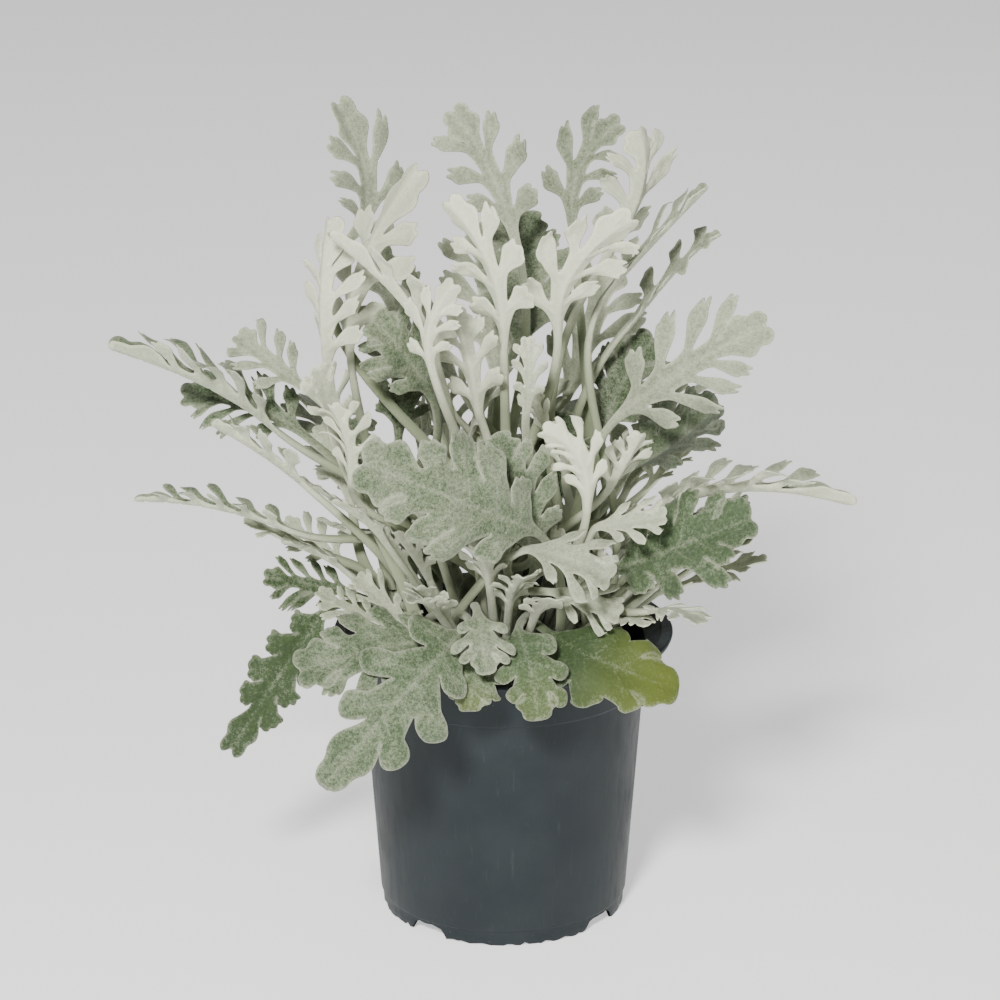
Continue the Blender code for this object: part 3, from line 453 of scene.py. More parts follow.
def fine_outline(spec, length, stalk):
    """The finely cut outline with its lobules, a closed line, and the side veins."""
    kind = KINDS[spec[1]]
    rng = random.Random(spec[0] + "edge")
    edge = "round" if spec[0] in ROUND_LEAVES else spec[1]
    neck = BAYS.get(spec[0], BAYS[edge])
    waist = 0.92 if edge == "round" else kind["waist"]
    plan = lobe_plan(spec, length, shown=True)
    end = kind["end"] * spec[3]
    sides = []
    veins = []
    for side in (1, -1):
        points = [(-stalk - STALK_SINK, SHOWN_STALK_HALF_WIDTH + 1.4)]
        points += [(x, stalk_width(x, stalk)) for x in (-stalk, 8.0 - stalk, -0.6 * stalk, -0.3 * stalk, 0.0)]
        for lobe in plan:
            if lobe[0] != side:
                continue
            points.append(round_end(on_lobe(lobe, neck, -waist, length), spec[3], length))
            for a, b in LOBE_EDGES[edge]:
                a = max(a, neck + 0.02) + rng.uniform(-0.025, 0.025)
                b += rng.uniform(-0.05, 0.05)
                points.append(round_end(on_lobe(lobe, a, b, length), spec[3], length))
            points.append(round_end(on_lobe(lobe, neck + 0.02, waist, length), spec[3], length))
            _, base_x, angle, size, _ = lobe
            for begin, finish, width in LOBE_VEINS:
                start = (base_x + begin[0] * size * math.cos(angle), begin[0] * size * math.sin(angle) * side)
                stop_x, stop_y = round_end(on_lobe(lobe, *finish, length), spec[3], length)
                if begin[0] > 0.0:
                    x, y = round_end(on_lobe(lobe, *begin, length), spec[3], length)
                    start = (x, y * side)
                veins.append((start, (stop_x, stop_y * side), width))
        tip_edge = ROUND_END if edge == "round" else END_EDGE
        points += [(a * length, max(b * end, 0.4)) for a, b in tip_edge]
        veins.append(((0.76 * length, 0.0), (0.95 * length, 0.42 * end * side), 0.6))
        sides.append(spaced(rounded(points), EDGE_STEP) * (1.0, side))
    return np.vstack([sides[0], sides[1][::-1]]), veins


def segment_distance(points, start, stop):
    """Distance from each flat point to a segment, and how far along it the nearest place is."""
    start = np.array(start)
    run = np.array(stop) - start
    share = np.clip(((points - start) @ run) / max(run @ run, 1e-9), 0.0, 1.0)
    return np.linalg.norm(points - (start + share[:, None] * run), axis=1), share


def point_tree(points):
    """A search tree of flat points."""
    tree = KDTree(len(points))
    for index, (x, y) in enumerate(points):
        tree.insert((x, y, 0.0), index)
    tree.balance()
    return tree


def rib_width(x, length):
    """Half width of the rib as it shows, x along the blade."""
    return SHOWN_HEEL_HALF_WIDTH * (1.0 - 0.55 * x / length)


def flat_leaf(spec, length, stalk):
    """Splits the fine flat leaf into triangles that run along its edge, rib and veins."""
    outline, veins = fine_outline(spec, length, stalk)
    tree = point_tree(outline)

    def room_at(x, y):
        return tree.find((x, y, 0.0))[2]

    turn = np.roll(outline, -1, axis=0) - np.roll(outline, 1, axis=0)
    inward = unit(np.stack([turn[:, 1], -turn[:, 0]], axis=1))
    inner = outline + inward * RIM_INSET
    extra = [tuple(p) for p in inner if room_at(*p) > 0.9 * RIM_INSET]
    for share in (0.0, 0.42, -0.42, 0.78, -0.78):
        for x in np.arange(-stalk - STALK_SINK + 1.0, 0.9 * length, STALK_STEP):
            width = float(stalk_width(x, stalk)) if x < 0.0 else rib_width(x, length)
            if room_at(x, share * width) > 0.35:
                extra.append((x, share * width))
    for start, stop, width in veins:
        run = np.array(stop) - np.array(start)
        far = float(np.linalg.norm(run))
        aside = np.array([-run[1], run[0]]) / max(far, 1e-6)
        for off in (0.0, 0.8 * width, -0.8 * width):
            for at in np.arange(1.2, far, 1.6):
                x, y = np.array(start) + run * (at / far) + aside * off
                if abs(y) > HEEL_HALF_WIDTH and room_at(x, y) > 0.5:
                    extra.append((x, y))
    taken = point_tree(extra)
    across = np.max(np.abs(outline[:, 1]))
    row = 0
    for x in np.arange(0.0, length, 0.87 * GRID_STEP):
        row += 1
        for y in np.arange(-across + 0.5 * GRID_STEP * (row % 2), across, GRID_STEP):
            if room_at(x, y) > 0.9 and taken.find((x, y, 0.0))[2] > 0.9:
                extra.append((x, y))
    points = [Vector(p) for p in outline.tolist()] + [Vector(p) for p in extra]
    count = len(outline)
    edges = [(k, (k + 1) % count) for k in range(count)]
    verts, _, faces, _, _, _ = delaunay_2d_cdt(points, edges, [], 1, 1e-4)
    faces = largest_patch([tuple(f) for f in faces])
    kept = sorted({vertex for face in faces for vertex in face})
    place = {vertex: index for index, vertex in enumerate(kept)}
    faces = [tuple(place[vertex] for vertex in face) for face in faces]
    flat = [tuple(verts[vertex]) for vertex in kept]
    border = {vertex for edge in border_edges(faces) for vertex in edge}
    # A triangle with all its corners on the edge would have no thickness, so it gets a middle.
    for face in [face for face in faces if border.issuperset(face)]:
        faces.remove(face)
        faces += [(face[k], face[(k + 1) % 3], len(flat)) for k in range(3)]
        flat.append(tuple(sum(flat[vertex][axis] for vertex in face) / 3.0 for axis in range(2)))
    return np.array(flat), faces, sorted(border), outline, veins


def largest_patch(faces):
    """Keeps the triangles that hang together by their edges, and drops loose scraps."""
    by_edge = {}
    for index, face in enumerate(faces):
        for k in range(3):
            by_edge.setdefault(frozenset((face[k], face[(k + 1) % 3])), []).append(index)
    seen = set()
    best = []
    for start in range(len(faces)):
        if start in seen:
            continue
        seen.add(start)
        patch = [start]
        for index in patch:
            face = faces[index]
            for k in range(3):
                for other in by_edge[frozenset((face[k], face[(k + 1) % 3]))]:
                    if other not in seen:
                        seen.add(other)
                        patch.append(other)
        if len(patch) > len(best):
            best = patch
    return [faces[index] for index in sorted(best)]


def border_edges(faces):
    """The edges that only one triangle has."""
    border = {}
    for face in faces:
        for k in range(3):
            a = face[k]
            b = face[(k + 1) % 3]
            if (b, a) in border:
                del border[(b, a)]
            else:
                border[(a, b)] = True
    return list(border)


def natural_face(spec):
    """The way a blade's upper face looks: as its row says, or inwards and up."""
    if spec[7] is not None:
        return unit(np.array(spec[7], dtype=float))
    x, y, _ = spec[5]
    inward = -np.array([x, y, 0.0]) / max(math.hypot(x, y), 1.0)
    return unit(0.7 * inward + np.array([0.0, 0.0, 0.72]))


def blade_length(spec):
    return (math.dist(spec[4], spec[5]) + math.dist(spec[5], spec[6])) * 1.01


def stalk_length(spine):
    return float(np.sum(np.linalg.norm(np.diff(spine[0][:SPINE_STEPS + 1], axis=0), axis=1)))


def leaf_spine(spec, root, start, shift, bow, reach=0.36):
    """Centre line, direction and upper-face normal from the root, through the heel, to the tip."""
    heel, middle, tip = (np.array(p, dtype=float) + shift for p in spec[4:7])
    control = 2.0 * middle - 0.5 * (heel + tip)
    t = np.linspace(0.0, 1.0, SPINE_STEPS + 1)[:, None]
    blade = (1 - t) ** 2 * heel + 2 * t * (1 - t) * control + t ** 2 * tip
    enter = unit(control - heel)
    pull = reach * np.linalg.norm(heel - root)
    p1 = root + start * pull
    p2 = heel - enter * pull
    side = unit(np.cross(heel - root, np.array([0.0, 0.0, 1.0])))
    p1 = p1 + side * bow
    p2 = p2 + side * bow
    stalk = ((1 - t) ** 3 * root + 3 * t * (1 - t) ** 2 * p1
             + 3 * t ** 2 * (1 - t) * p2 + t ** 3 * heel)
    place = np.vstack([stalk[:-1], blade])
    along = unit(np.gradient(place, axis=0))
    normal = np.zeros_like(place)
    middle_step = SPINE_STEPS + SPINE_STEPS // 2
    face = natural_face(spec)
    normal[middle_step] = unit(face - along[middle_step] * face.dot(along[middle_step]))
    for step in range(middle_step + 1, len(place)):
        carried = normal[step - 1]
        normal[step] = unit(carried - along[step] * carried.dot(along[step]))
    for step in range(middle_step - 1, -1, -1):
        carried = normal[step + 1]
        normal[step] = unit(carried - along[step] * carried.dot(along[step]))
    return place, along, normal


def lay_on_spine(spec, spine, flat, length, stalk):
    """Bends flat points along the spine: their places and the way the upper face looks there."""
    place, along, normal = spine
    steps = np.linspace(-1.0, 1.0, len(place))
    x = flat[:, 0]
    y = flat[:, 1]
    share = np.where(x < 0.0, x / stalk, x / length)
    centre = np.stack([np.interp(share, steps, place[:, i]) for i in range(3)], axis=1)
    centre = centre + along[0] * np.minimum(x + stalk, 0.0)[:, None]
    forward = unit(np.stack([np.interp(share, steps, along[:, i]) for i in range(3)], axis=1))
    up = unit(np.stack([np.interp(share, steps, normal[:, i]) for i in range(3)], axis=1))
    across = np.cross(up, forward)
    half_width = spec[3]
    phase = random.Random(spec[0] + "wave").uniform(0.0, math.tau)
    spread = np.clip(np.abs(y) / half_width, 0.0, 1.3)
    fold = np.radians(spec[8]) * np.clip(spread * 4.0, 0.0, 1.0) - np.radians(16.0) * spread ** 2
    ripple = np.sin(x * math.tau / (0.36 * length) + phase + np.where(y > 0.0, 0.0, 2.1))
    lift = 0.11 * half_width * spread ** 1.5 * ripple * (x > 0.0)
    side = np.sign(y)[:, None]
    fold = fold[:, None]
    spot = centre + across * (y[:, None] * np.cos(fold)) + up * (np.abs(y)[:, None] * np.sin(fold))
    spot = spot + up * lift[:, None]
    return spot, unit(up * np.cos(fold) - across * side * np.sin(fold))


def coarse_box(spec, spine, flat, on_rib, length, stalk):
    """Lowest and highest corner that the solid leaf would have on this spine, and one at its foot."""
    spot, outward = lay_on_spine(spec, spine, flat, length, stalk)
    share = np.where(flat[:, 0] < 0.0, flat[:, 0] / stalk, flat[:, 0] / length)
    rib = np.where(share < 0.0, STALK_HALF_THICKNESS,
                   RIB_HALF_THICKNESS + (TIP_HALF_THICKNESS - RIB_HALF_THICKNESS) * np.clip(share, 0, 1))
    edge = np.where(share < -0.02, STALK_EDGE_HALF_THICKNESS, EDGE_HALF_THICKNESS)
    half = np.where(on_rib, rib, edge)[:, None]
    both = np.vstack([spot + outward * half, spot - outward * half])
    return both.min(axis=0), both.max(axis=0), both[0]


def root_choices(spec, used):
    """Places along the branches where the leaf can grow, the most natural first."""
    heel = Vector(spec[4])
    found = []
    for name, points in STEMS.items():
        for step in range(3, 20):
            share = step / 20.0
            place, along = bend(points, share)
            reach = heel - place
            outward = reach - along * reach.dot(along)
            if outward.length < 1.0:
                continue
            outward.normalize()
            length = reach.length
            climb = reach.z / length
            crowd = sum(max(0.0, 9.0 - (place - other).length) for other in used)
            cost = abs(length - 85.0) * 0.6 + max(0.0, 0.25 - climb) * 60.0 + 2.5 * crowd
            cost += max(0.0, 0.2 - along.dot(reach) / length) * 60.0
            cost += max(0.0, 150.0 - place.z) * 0.15
            found.append((cost, name, share))
    return sorted(found)[:8]


def root_frame(spec, name, share):
    """Where a stalk starts beside its branch, which way it sets off, and the place on the branch."""
    place, along = bend(STEMS[name], share)
    reach = Vector(spec[4]) - place
    outward = (reach - along * reach.dot(along)).normalized()
    start = (0.5 * outward + 0.87 * along).normalized()
    clear = stem_radius(share) + GAP + 0.87 * STALK_HALF_THICKNESS - 0.1
    root = place + clear * outward
    return np.array(root), np.array(start), place


# The stances a leaf may have been given to clear its neighbours, the slightest first.
SHIFTS = sorted(
    (abs(dx) * 1.2 + abs(dy) * 0.6 + abs(dz) * 1.2 + abs(bow) * 0.25 + 2.0 * pick, dx, dy, dz, bow, pick)
    for dx in (0, -4, 4, -8, 8)
    for dy in (0, -5, 5, -10, 10, -16, 16, -22, 22)
    for dz in (0, -4, 4, 8)
    for bow in (0, -7, 7, -14, 14)
    for pick in range(8)
)
MOST_TRIES = 5000


def find_stance(spec, used):
    """Finds the stance in which the leaf fills the same box as its solid, from the same foot."""
    low, high = (np.array(corner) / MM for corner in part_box("leaf_" + spec[0]))
    corners = np.array([vertex.co for vertex in bpy.data.objects["leaf_" + spec[0]].data.vertices]) / MM
    roots = [root_frame(spec, name, share) for _, name, share in root_choices(spec, used)]
    length = blade_length(spec)
    best = None
    flat = None
    for _, dx, dy, dz, bow, pick in SHIFTS[:MOST_TRIES]:
        root, start, place = roots[pick]
        shift = np.array([dx, dy, dz], dtype=float)
        if flat is not None:
            ends = np.stack([root, np.array(spec[4]) + shift, np.array(spec[6]) + shift])
            if (ends < low - 5.0).any() or (ends > high + 5.0).any():
                continue
        spine = leaf_spine(spec, root, start, shift, bow)
        if flat is None:
            stalk = stalk_length(spine)
            outline = coarse_outline(spec, length, stalk)
            steps = 2 + spec[2] // 2
            rib = [(-stalk, 0.0), (-0.5 * stalk, 0.0), (-0.02 * stalk, 0.0)]
            rib += [(length * (0.16 + 0.74 * k / steps), 0.0) for k in range(steps + 1)]
            flat = np.vstack([outline, rib])
            on_rib = np.abs(flat[:, 1]) < 1e-3
        found_low, found_high, foot = coarse_box(spec, spine, flat, on_rib, length, stalk)
        miss = max(np.abs(found_low - low).max(), np.abs(found_high - high).max())
        if miss < 0.5:
            miss = max(miss, np.linalg.norm(corners - foot, axis=1).min())
        if best is None or miss < best[0]:
            best = (miss, spine, place, root, start, shift, bow)
        if miss < 0.02:
            break
    miss, spine, place, root, start, shift, bow = best
    if miss > 0.3:
        print("leaf", spec[0], "stands", round(miss, 2), "mm off its solid")
    if spec[0] in DIRECT_STALKS:
        spine = leaf_spine(spec, root, start, shift, 0.4 * bow, DIRECT_PULL)
    return spine, place, length, stalk


def blade_relief(flat, outline, veins, length, stalk):
    """Thickness of the upper and the lower half, and closeness to a vein and to the edge."""
    x = flat[:, 0]
    y = np.abs(flat[:, 1])
    share = np.clip(x / length, 0.0, 1.0)
    band = np.where(x < 0.0, stalk_width(x, stalk), rib_width(share, 1.0))
    fuller = (SHOWN_STALK_HALF_THICKNESS - RIB_HALF_THICKNESS) * np.clip(-x / (0.4 * stalk), 0.0, 1.0)
    flatter = (0.45 * TIP_HALF_THICKNESS - RIB_HALF_THICKNESS) * share
    rib_height = RIB_HALF_THICKNESS + np.where(x < 0.0, fuller, flatter)
    ridge = rib_height * np.sqrt(np.clip(1.0 - (y / band) ** 2, 0.0, 1.0))
    vein_close = np.exp(-(y / (0.8 * band)) ** 2)
    for start, stop, width in veins:
        distance, at = segment_distance(flat, start, stop)
        fade = 1.0 - 0.75 * at
        height = 0.75 * width * fade * np.exp(-(distance / (0.75 * width)) ** 2)
        ridge = np.maximum(ridge, height)
        close = (0.5 + 0.5 * width) * fade * np.exp(-(distance / 0.7) ** 2)
        vein_close = np.maximum(vein_close, close)
    tree = point_tree(outline)
    room = np.array([tree.find((px, py, 0.0))[2] for px, py in flat])
    rounding = np.sqrt(np.clip(room / 0.9, 0.0, 1.0))
    skin = EDGE_HALF_THICKNESS * rounding
    on_stalk = np.clip(-x / 4.0, 0.0, 1.0)
    upper = skin * (1.0 - 0.3 * on_stalk) + ridge * (0.30 + 0.45 * on_stalk)
    lower = skin + ridge * 0.95
    return upper, lower, np.clip(vein_close, 0.0, 1.0), np.exp(-(room / 0.65) ** 2)


def crinkle(spec, flat):
    """Gentle unevenness of the blade between its veins, and lobes that curl a little (mm)."""
    seed = Vector((random.Random(spec[0] + "crinkle").uniform(0.0, 90.0), 0.0, 0.0))
    half_width = spec[3]
    lift = np.zeros(len(flat))
    for index, (x, y) in enumerate(flat):
        if x < -1.0:
            continue
        broad = noise.noise(Vector((x / 13.0, y / 13.0, 0.0)) + seed)
        fine = noise.noise(Vector((x / 4.5, y / 4.5, 5.0)) + seed)
        out = min(abs(y) / half_width, 1.2)
        uneven = 1.5 * broad * out + 0.42 * fine * min(1.0, abs(y) / 6.0)
        lift[index] = uneven * min(1.0, (x + 1.0) / 8.0)
    return lift


def shape_leaf(spec, spine, length, stalk):
    """The skin of one leaf on its spine, with the values that its felt is painted from."""
    flat, faces, border, outline, veins = flat_leaf(spec, length, stalk)
    upper, lower, vein_close, rim_close = blade_relief(flat, outline, veins, length, stalk)
    spot, outward = lay_on_spine(spec, spine, flat, length, stalk)
    spot = spot + outward * crinkle(spec, flat)[:, None]
    on_edge = np.zeros(len(flat), dtype=bool)
    on_edge[border] = True
    top = spot + outward * np.where(on_edge, 0.0, upper)[:, None]
    under = spot - outward * np.where(on_edge, 0.0, lower)[:, None]
    twin = np.arange(len(flat))
    twin[~on_edge] = len(flat) + np.arange(int((~on_edge).sum()))
    verts = np.vstack([top, under[~on_edge]])
    solid = list(faces) + [(twin[a], twin[c], twin[b]) for a, b, c in faces]
    solid = [tuple(int(v) for v in face) for face in solid]
    verts = np.clip(verts, np.array(framed_low) / MM - BOX_SLACK, np.array(framed_high) / MM + BOX_SLACK)
    pick = np.concatenate([np.arange(len(flat)), np.flatnonzero(~on_edge)])
    values = {
        "underside": np.concatenate([np.where(on_edge, 0.5, 0.0), np.ones(int((~on_edge).sum()))]),
        "vein": vein_close[pick],
        "rim": rim_close[pick],
        "stalk": np.clip(-2.5 * flat[pick, 0] / stalk, 0.0, 1.0),
        "white": np.full(len(verts), leaf_whiteness(spec)),
        "warm": WARM.get(spec[0], 0.0) * np.clip((flat[pick, 0] / length - 0.30) / 0.55, 0.0, 1.0),
    }
    return verts, solid, values


def build_leaf(spec, used, paints):
    """One large leaf in the stance of its solid, which it takes the place of."""
    spine, place, length, stalk = find_stance(spec, used)
    used.append(place)
    verts, faces, values = shape_leaf(spec, spine, length, stalk)
    leaf = add_mesh("felted_leaf_" + spec[0], verts, faces)
    for key, numbers in values.items():
        add_values(leaf, key, numbers)
    green = spec[0] in GREEN_LEAVES
    leaf.data.materials.append(paints["green" if green else "silver"])
    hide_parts("leaf_" + spec[0])
    return leaf


def small_leaf(name, place, along, outward, heading, stalk, blade, half_width, rng):
    """A leaf grown out of a branch or the crown: its table row and its spine."""
    heel = place + heading * stalk
    lean = (heading + 0.35 * outward + Vector([rng.uniform(-0.3, 0.3) for _ in range(3)])).normalized()
    middle = heel + 0.5 * blade * (0.6 * heading + 0.4 * lean)
    tip = middle + 0.5 * blade * lean
    face = tuple(-0.8 * outward + 0.5 * along)
    kind = rng.choice(("young", "cut", "young"))
    spec = (name, kind, 3, half_width, tuple(heel), tuple(middle), tuple(tip), face, rng.uniform(12.0, 34.0))
    spine = leaf_spine(spec, np.array(place), np.array(along), np.zeros(3), 0.0)
    return spec, spine, blade_length(spec), stalk_length(spine)


def skin_tree(verts, faces):
    """A search tree of a skin's triangles with its lowest and highest corner."""
    return BVHTree.FromPolygons(verts.tolist(), faces), verts.min(axis=0), verts.max(axis=0)


def crosses(verts, faces, others):
    """Whether a skin runs through any of the others."""
    low = verts.min(axis=0)
    high = verts.max(axis=0)
    tree = None
    for other, lowest, highest in others:
        if (low > highest).any() or (high < lowest).any():
            continue
        if tree is None:
            tree = BVHTree.FromPolygons(verts.tolist(), faces)
        if tree.overlap(other):
            return True
    return False


def fan_leaf(rng, index, attempt):
    """A leaf on a long straight stalk that rises from the crown, leaning with its place in the fan."""
    share = (index + rng.uniform(0.2, 0.8)) / FAN_LEAVES
    turn = math.radians(FAN_FROM + (FAN_TO - FAN_FROM) * share)
    outward = Vector((math.cos(turn), math.sin(turn), 0.0))
    place = outward * rng.uniform(12.0, 20.0) + Vector((0.0, 0.0, rng.uniform(119.0, 122.0)))
    tilt = rng.uniform(0.35, 0.95) + 0.25 * abs(outward.x)
    heading = (Vector((0.0, 0.0, 1.0)) + tilt * outward).normalized()
    return small_leaf("fan_%d_%d" % (index, attempt), place, heading, outward, heading,
                      rng.uniform(74.0, 108.0), rng.uniform(32.0, 46.0), rng.uniform(10.0, 14.0), rng)


def shoot_leaf(rng, attempt):
    """A young leaf on the upper part of a branch, or in the tuft at its end."""
    names = list(STEMS)
    share = rng.uniform(0.55, 1.0) if attempt % 3 else 1.0
    place, along = bend(STEMS[names[attempt % len(names)]], share)
    turn = rng.uniform(0.0, math.tau)
    side = along.cross(Vector((math.cos(turn), math.sin(turn), 0.3))).normalized()
    heading = (0.55 * along + 0.6 * side + Vector((0.0, 0.0, 0.35))).normalized()
    reach = rng.uniform(0.0, 1.0)
    return small_leaf("young_%d" % attempt, place, along, side, heading, 9.0 + 42.0 * reach,
                      20.0 + 24.0 * reach, 8.0 + 6.0 * reach, rng)


def build_young_growth(name, makers, wanted, paint, others):
    """Smaller leaves among the large ones, each set where its blade runs through no other leaf."""
    verts = []
    faces = []
    values = {}
    count = 0
    top = np.array(framed_high) / MM - 12.0
    for made in makers:
        if count == wanted:
            break
        if (np.array(made[0][6]) > top).any() or crosses(*sketch(*made), others):
            continue
        count += 1
        others.append(skin_tree(*sketch(*made)))
        part_verts, part_faces, part_values = shape_leaf(*made)
        start = sum(len(block) for block in verts)
        verts.append(part_verts)
        faces += [tuple(start + i for i in face) for face in part_faces]
        for key, numbers in part_values.items():
            values.setdefault(key, []).append(numbers)
    growth = add_mesh(name, np.vstack(verts), faces)
    for key, numbers in values.items():
        add_values(growth, key, np.concatenate(numbers))
    growth.data.materials.append(paint)
    print(name, "has", count, "leaves and", len(faces), "triangles")


def sketch(spec, spine, length, stalk):
    """A plain strip through the leaf's blade and stalk, for testing what lies in its way."""
    stations = np.linspace(-0.72 * stalk, length, 14)
    blade = 0.85 * spec[3] * np.sin(math.pi * (0.12 + 0.76 * stations / length))
    widths = np.where(stations < 0.0, 2.0, blade)
    flat = np.array([(x, y * width) for x, width in zip(stations, widths)
                     for y in (-1.0, -0.4, 0.4, 1.0)])
    spot, _ = lay_on_spine(spec, spine, flat, length, stalk)
    faces = []
    for row in range(len(stations) - 1):
        for k in range(3):
            a = 4 * row + k
            faces.append((a, a + 1, a + 5))
            faces.append((a, a + 5, a + 4))
    return spot, faces


class Paint:
    """A material being put together from nodes, with short names for the ones used here."""

    def __init__(self, name):
        self.material = bpy.data.materials.new(name)
        self.material.use_nodes = True
        self.tree = self.material.node_tree
        self.shader = self.tree.nodes["Principled BSDF"]
        self.place = self.tree.nodes.new("ShaderNodeTexCoord").outputs["Object"]

    def put(self, socket, value):
        if isinstance(value, bpy.types.NodeSocket):
            self.tree.links.new(value, socket)
        elif isinstance(value, tuple):
            socket.default_value = (*value, 1.0)
        else:
            socket.default_value = value

    def vertex_value(self, name):
        node = self.tree.nodes.new("ShaderNodeAttribute")
        node.attribute_name = name
        return node.outputs["Fac"]

    def noise(self, size_mm, detail=2.0, roughness=0.5, stretch=(1.0, 1.0, 1.0)):
        """Smooth noise whose features are about size_mm across."""
        mapping = self.tree.nodes.new("ShaderNodeMapping")
        mapping.inputs["Scale"].default_value = [value / (size_mm * MM) for value in stretch]
        self.put(mapping.inputs["Vector"], self.place)
        node = self.tree.nodes.new("ShaderNodeTexNoise")
        node.inputs["Scale"].default_value = 1.0
        node.inputs["Detail"].default_value = detail
        node.inputs["Roughness"].default_value = roughness
        self.put(node.inputs["Vector"], mapping.outputs["Vector"])
        return node.outputs["Fac"]

    def height(self):
        node = self.tree.nodes.new("ShaderNodeSeparateXYZ")
        self.put(node.inputs[0], self.place)
        return node.outputs["Z"]

    def math(self, operation, a, b=0.0, clamp=False):
        node = self.tree.nodes.new("ShaderNodeMath")
        node.operation = operation
        node.use_clamp = clamp
        self.put(node.inputs[0], a)
        self.put(node.inputs[1], b)
        return node.outputs[0]

    def ramp(self, value, low, high, out_low=0.0, out_high=1.0):
        """Runs from out_low to out_high as the value goes from low to high."""
        node = self.tree.nodes.new("ShaderNodeMapRange")
        node.interpolation_type = "SMOOTHSTEP"
        self.put(node.inputs["Value"], value)
        self.put(node.inputs["From Min"], low)
        self.put(node.inputs["From Max"], high)
        self.put(node.inputs["To Min"], out_low)
        self.put(node.inputs["To Max"], out_high)
        return node.outputs["Result"]

    def mix(self, share, a, b):
        node = self.tree.nodes.new("ShaderNodeMix")
        node.data_type = "RGBA"
        self.put(node.inputs[0], share)
        self.put(node.inputs[6], a)
        self.put(node.inputs[7], b)
        return node.outputs[2]

    def bump(self, height, strength, depth_mm):
        node = self.tree.nodes.new("ShaderNodeBump")
        node.inputs["Strength"].default_value = strength
        node.inputs["Distance"].default_value = depth_mm * MM
        self.put(node.inputs["Height"], height)
        return node.outputs["Normal"]

    def finish(self, colour, roughness, normal=None, **constants):
        self.put(self.shader.inputs["Base Color"], colour)
        self.put(self.shader.inputs["Roughness"], roughness)
        if normal is not None:
            self.put(self.shader.inputs["Normal"], normal)
        for name, value in constants.items():
            self.put(self.shader.inputs[name.replace("_", " ")], value)
        return self.material


def shade(colour, share):
    return tuple(share * part for part in colour)


def felt(name, tissue, hairs, stalk_colour, sheen):
    """Leaf tissue under matted white hairs, thickest on the underside, the veins and the rim, with the stalks
    darkened low in the crown as painted shade.
    """
    paint = Paint(name)
    white = paint.vertex_value("white")
    warm = paint.vertex_value("warm")
    underside = paint.vertex_value("underside")
    vein = paint.vertex_value("vein")
    rim = paint.vertex_value("rim")
    stalk = paint.vertex_value("stalk")
    mottle = paint.noise(1.5, 3.0, 0.62)
    speckle = paint.noise(0.65, 2.0, 0.6)
    patches = paint.noise(16.0, 2.0, 0.5)
    cover = paint.math("ADD", white, paint.math("MULTIPLY", underside, UNDERSIDE_FELT))
    cover = paint.math("ADD", cover, paint.math("MULTIPLY", vein, VEIN_FELT))
    cover = paint.math("ADD", cover, paint.math("MULTIPLY", rim, RIM_FELT))
    uneven = paint.math("ADD", paint.ramp(mottle, 0.30, 0.70, -0.06, 0.06),
                        paint.ramp(speckle, 0.35, 0.65, -0.07, 0.07))
    uneven = paint.math("ADD", uneven, paint.ramp(patches, 0.35, 0.65, -0.04, 0.04))
    bare = paint.ramp(underside, 0.0, 1.0, 1.0, 0.65)
    cover = paint.math("ADD", cover, paint.math("MULTIPLY", uneven, bare), clamp=True)
    deep = paint.mix(paint.ramp(mottle, 0.3, 0.7), shade(tissue, 0.7), shade(tissue, 1.3))
    deep = paint.mix(warm, deep, YELLOWED)
    colour = paint.mix(cover, deep, hairs)
    stem_green = paint.math("MULTIPLY", stalk, 0.80)
    # Painted shade: low in the crown the stalks are darkened to 0.42 of their colour, for the shade of the
    # dense foliage.
    crown_painted_shade = paint.ramp(paint.height(), 0.125, 0.225, 1.0, 0.0)
    stalk_green_with_painted_shade = paint.mix(crown_painted_shade, stalk_colour, shade(stalk_colour, 0.42))
    colour = paint.mix(stem_green, colour, stalk_green_with_painted_shade)
    felted = paint.math("ADD", paint.noise(0.45, 3.0, 0.7), paint.math("MULTIPLY", speckle, 0.6))
    normal = paint.bump(felted, 0.45, 0.35)
    roughness = paint.ramp(cover, 0.0, 1.0, 0.72, 0.95)
    return paint.finish(colour, roughness, normal, Sheen_Weight=sheen, Sheen_Roughness=0.55)


def stem_felt():
    """Felted green bark that turns brown and bare towards the soil."""
    paint = Paint("felted_stem_bark")
    fibre = paint.noise(1.6, 3.0, 0.6, stretch=(1.0, 1.0, 0.25))
    patch = paint.noise(7.0, 2.0, 0.5)
    low = paint.ramp(paint.height(), 0.118, 0.150, 1.0, 0.0)
    green = paint.mix(paint.ramp(fibre, 0.3, 0.7), (0.20, 0.24, 0.15), (0.34, 0.37, 0.27))
    brown = paint.mix(paint.ramp(patch, 0.35, 0.65), (0.13, 0.10, 0.07), (0.26, 0.23, 0.17))
    colour = paint.mix(paint.math("MULTIPLY", low, paint.ramp(patch, 0.3, 0.6, 0.55, 1.0)), green, brown)
    normal = paint.bump(paint.math("ADD", fibre, paint.noise(0.5, 2.0, 0.6)), 0.5, 0.5)
    return paint.finish(colour, 0.9, normal, Sheen_Weight=0.2)


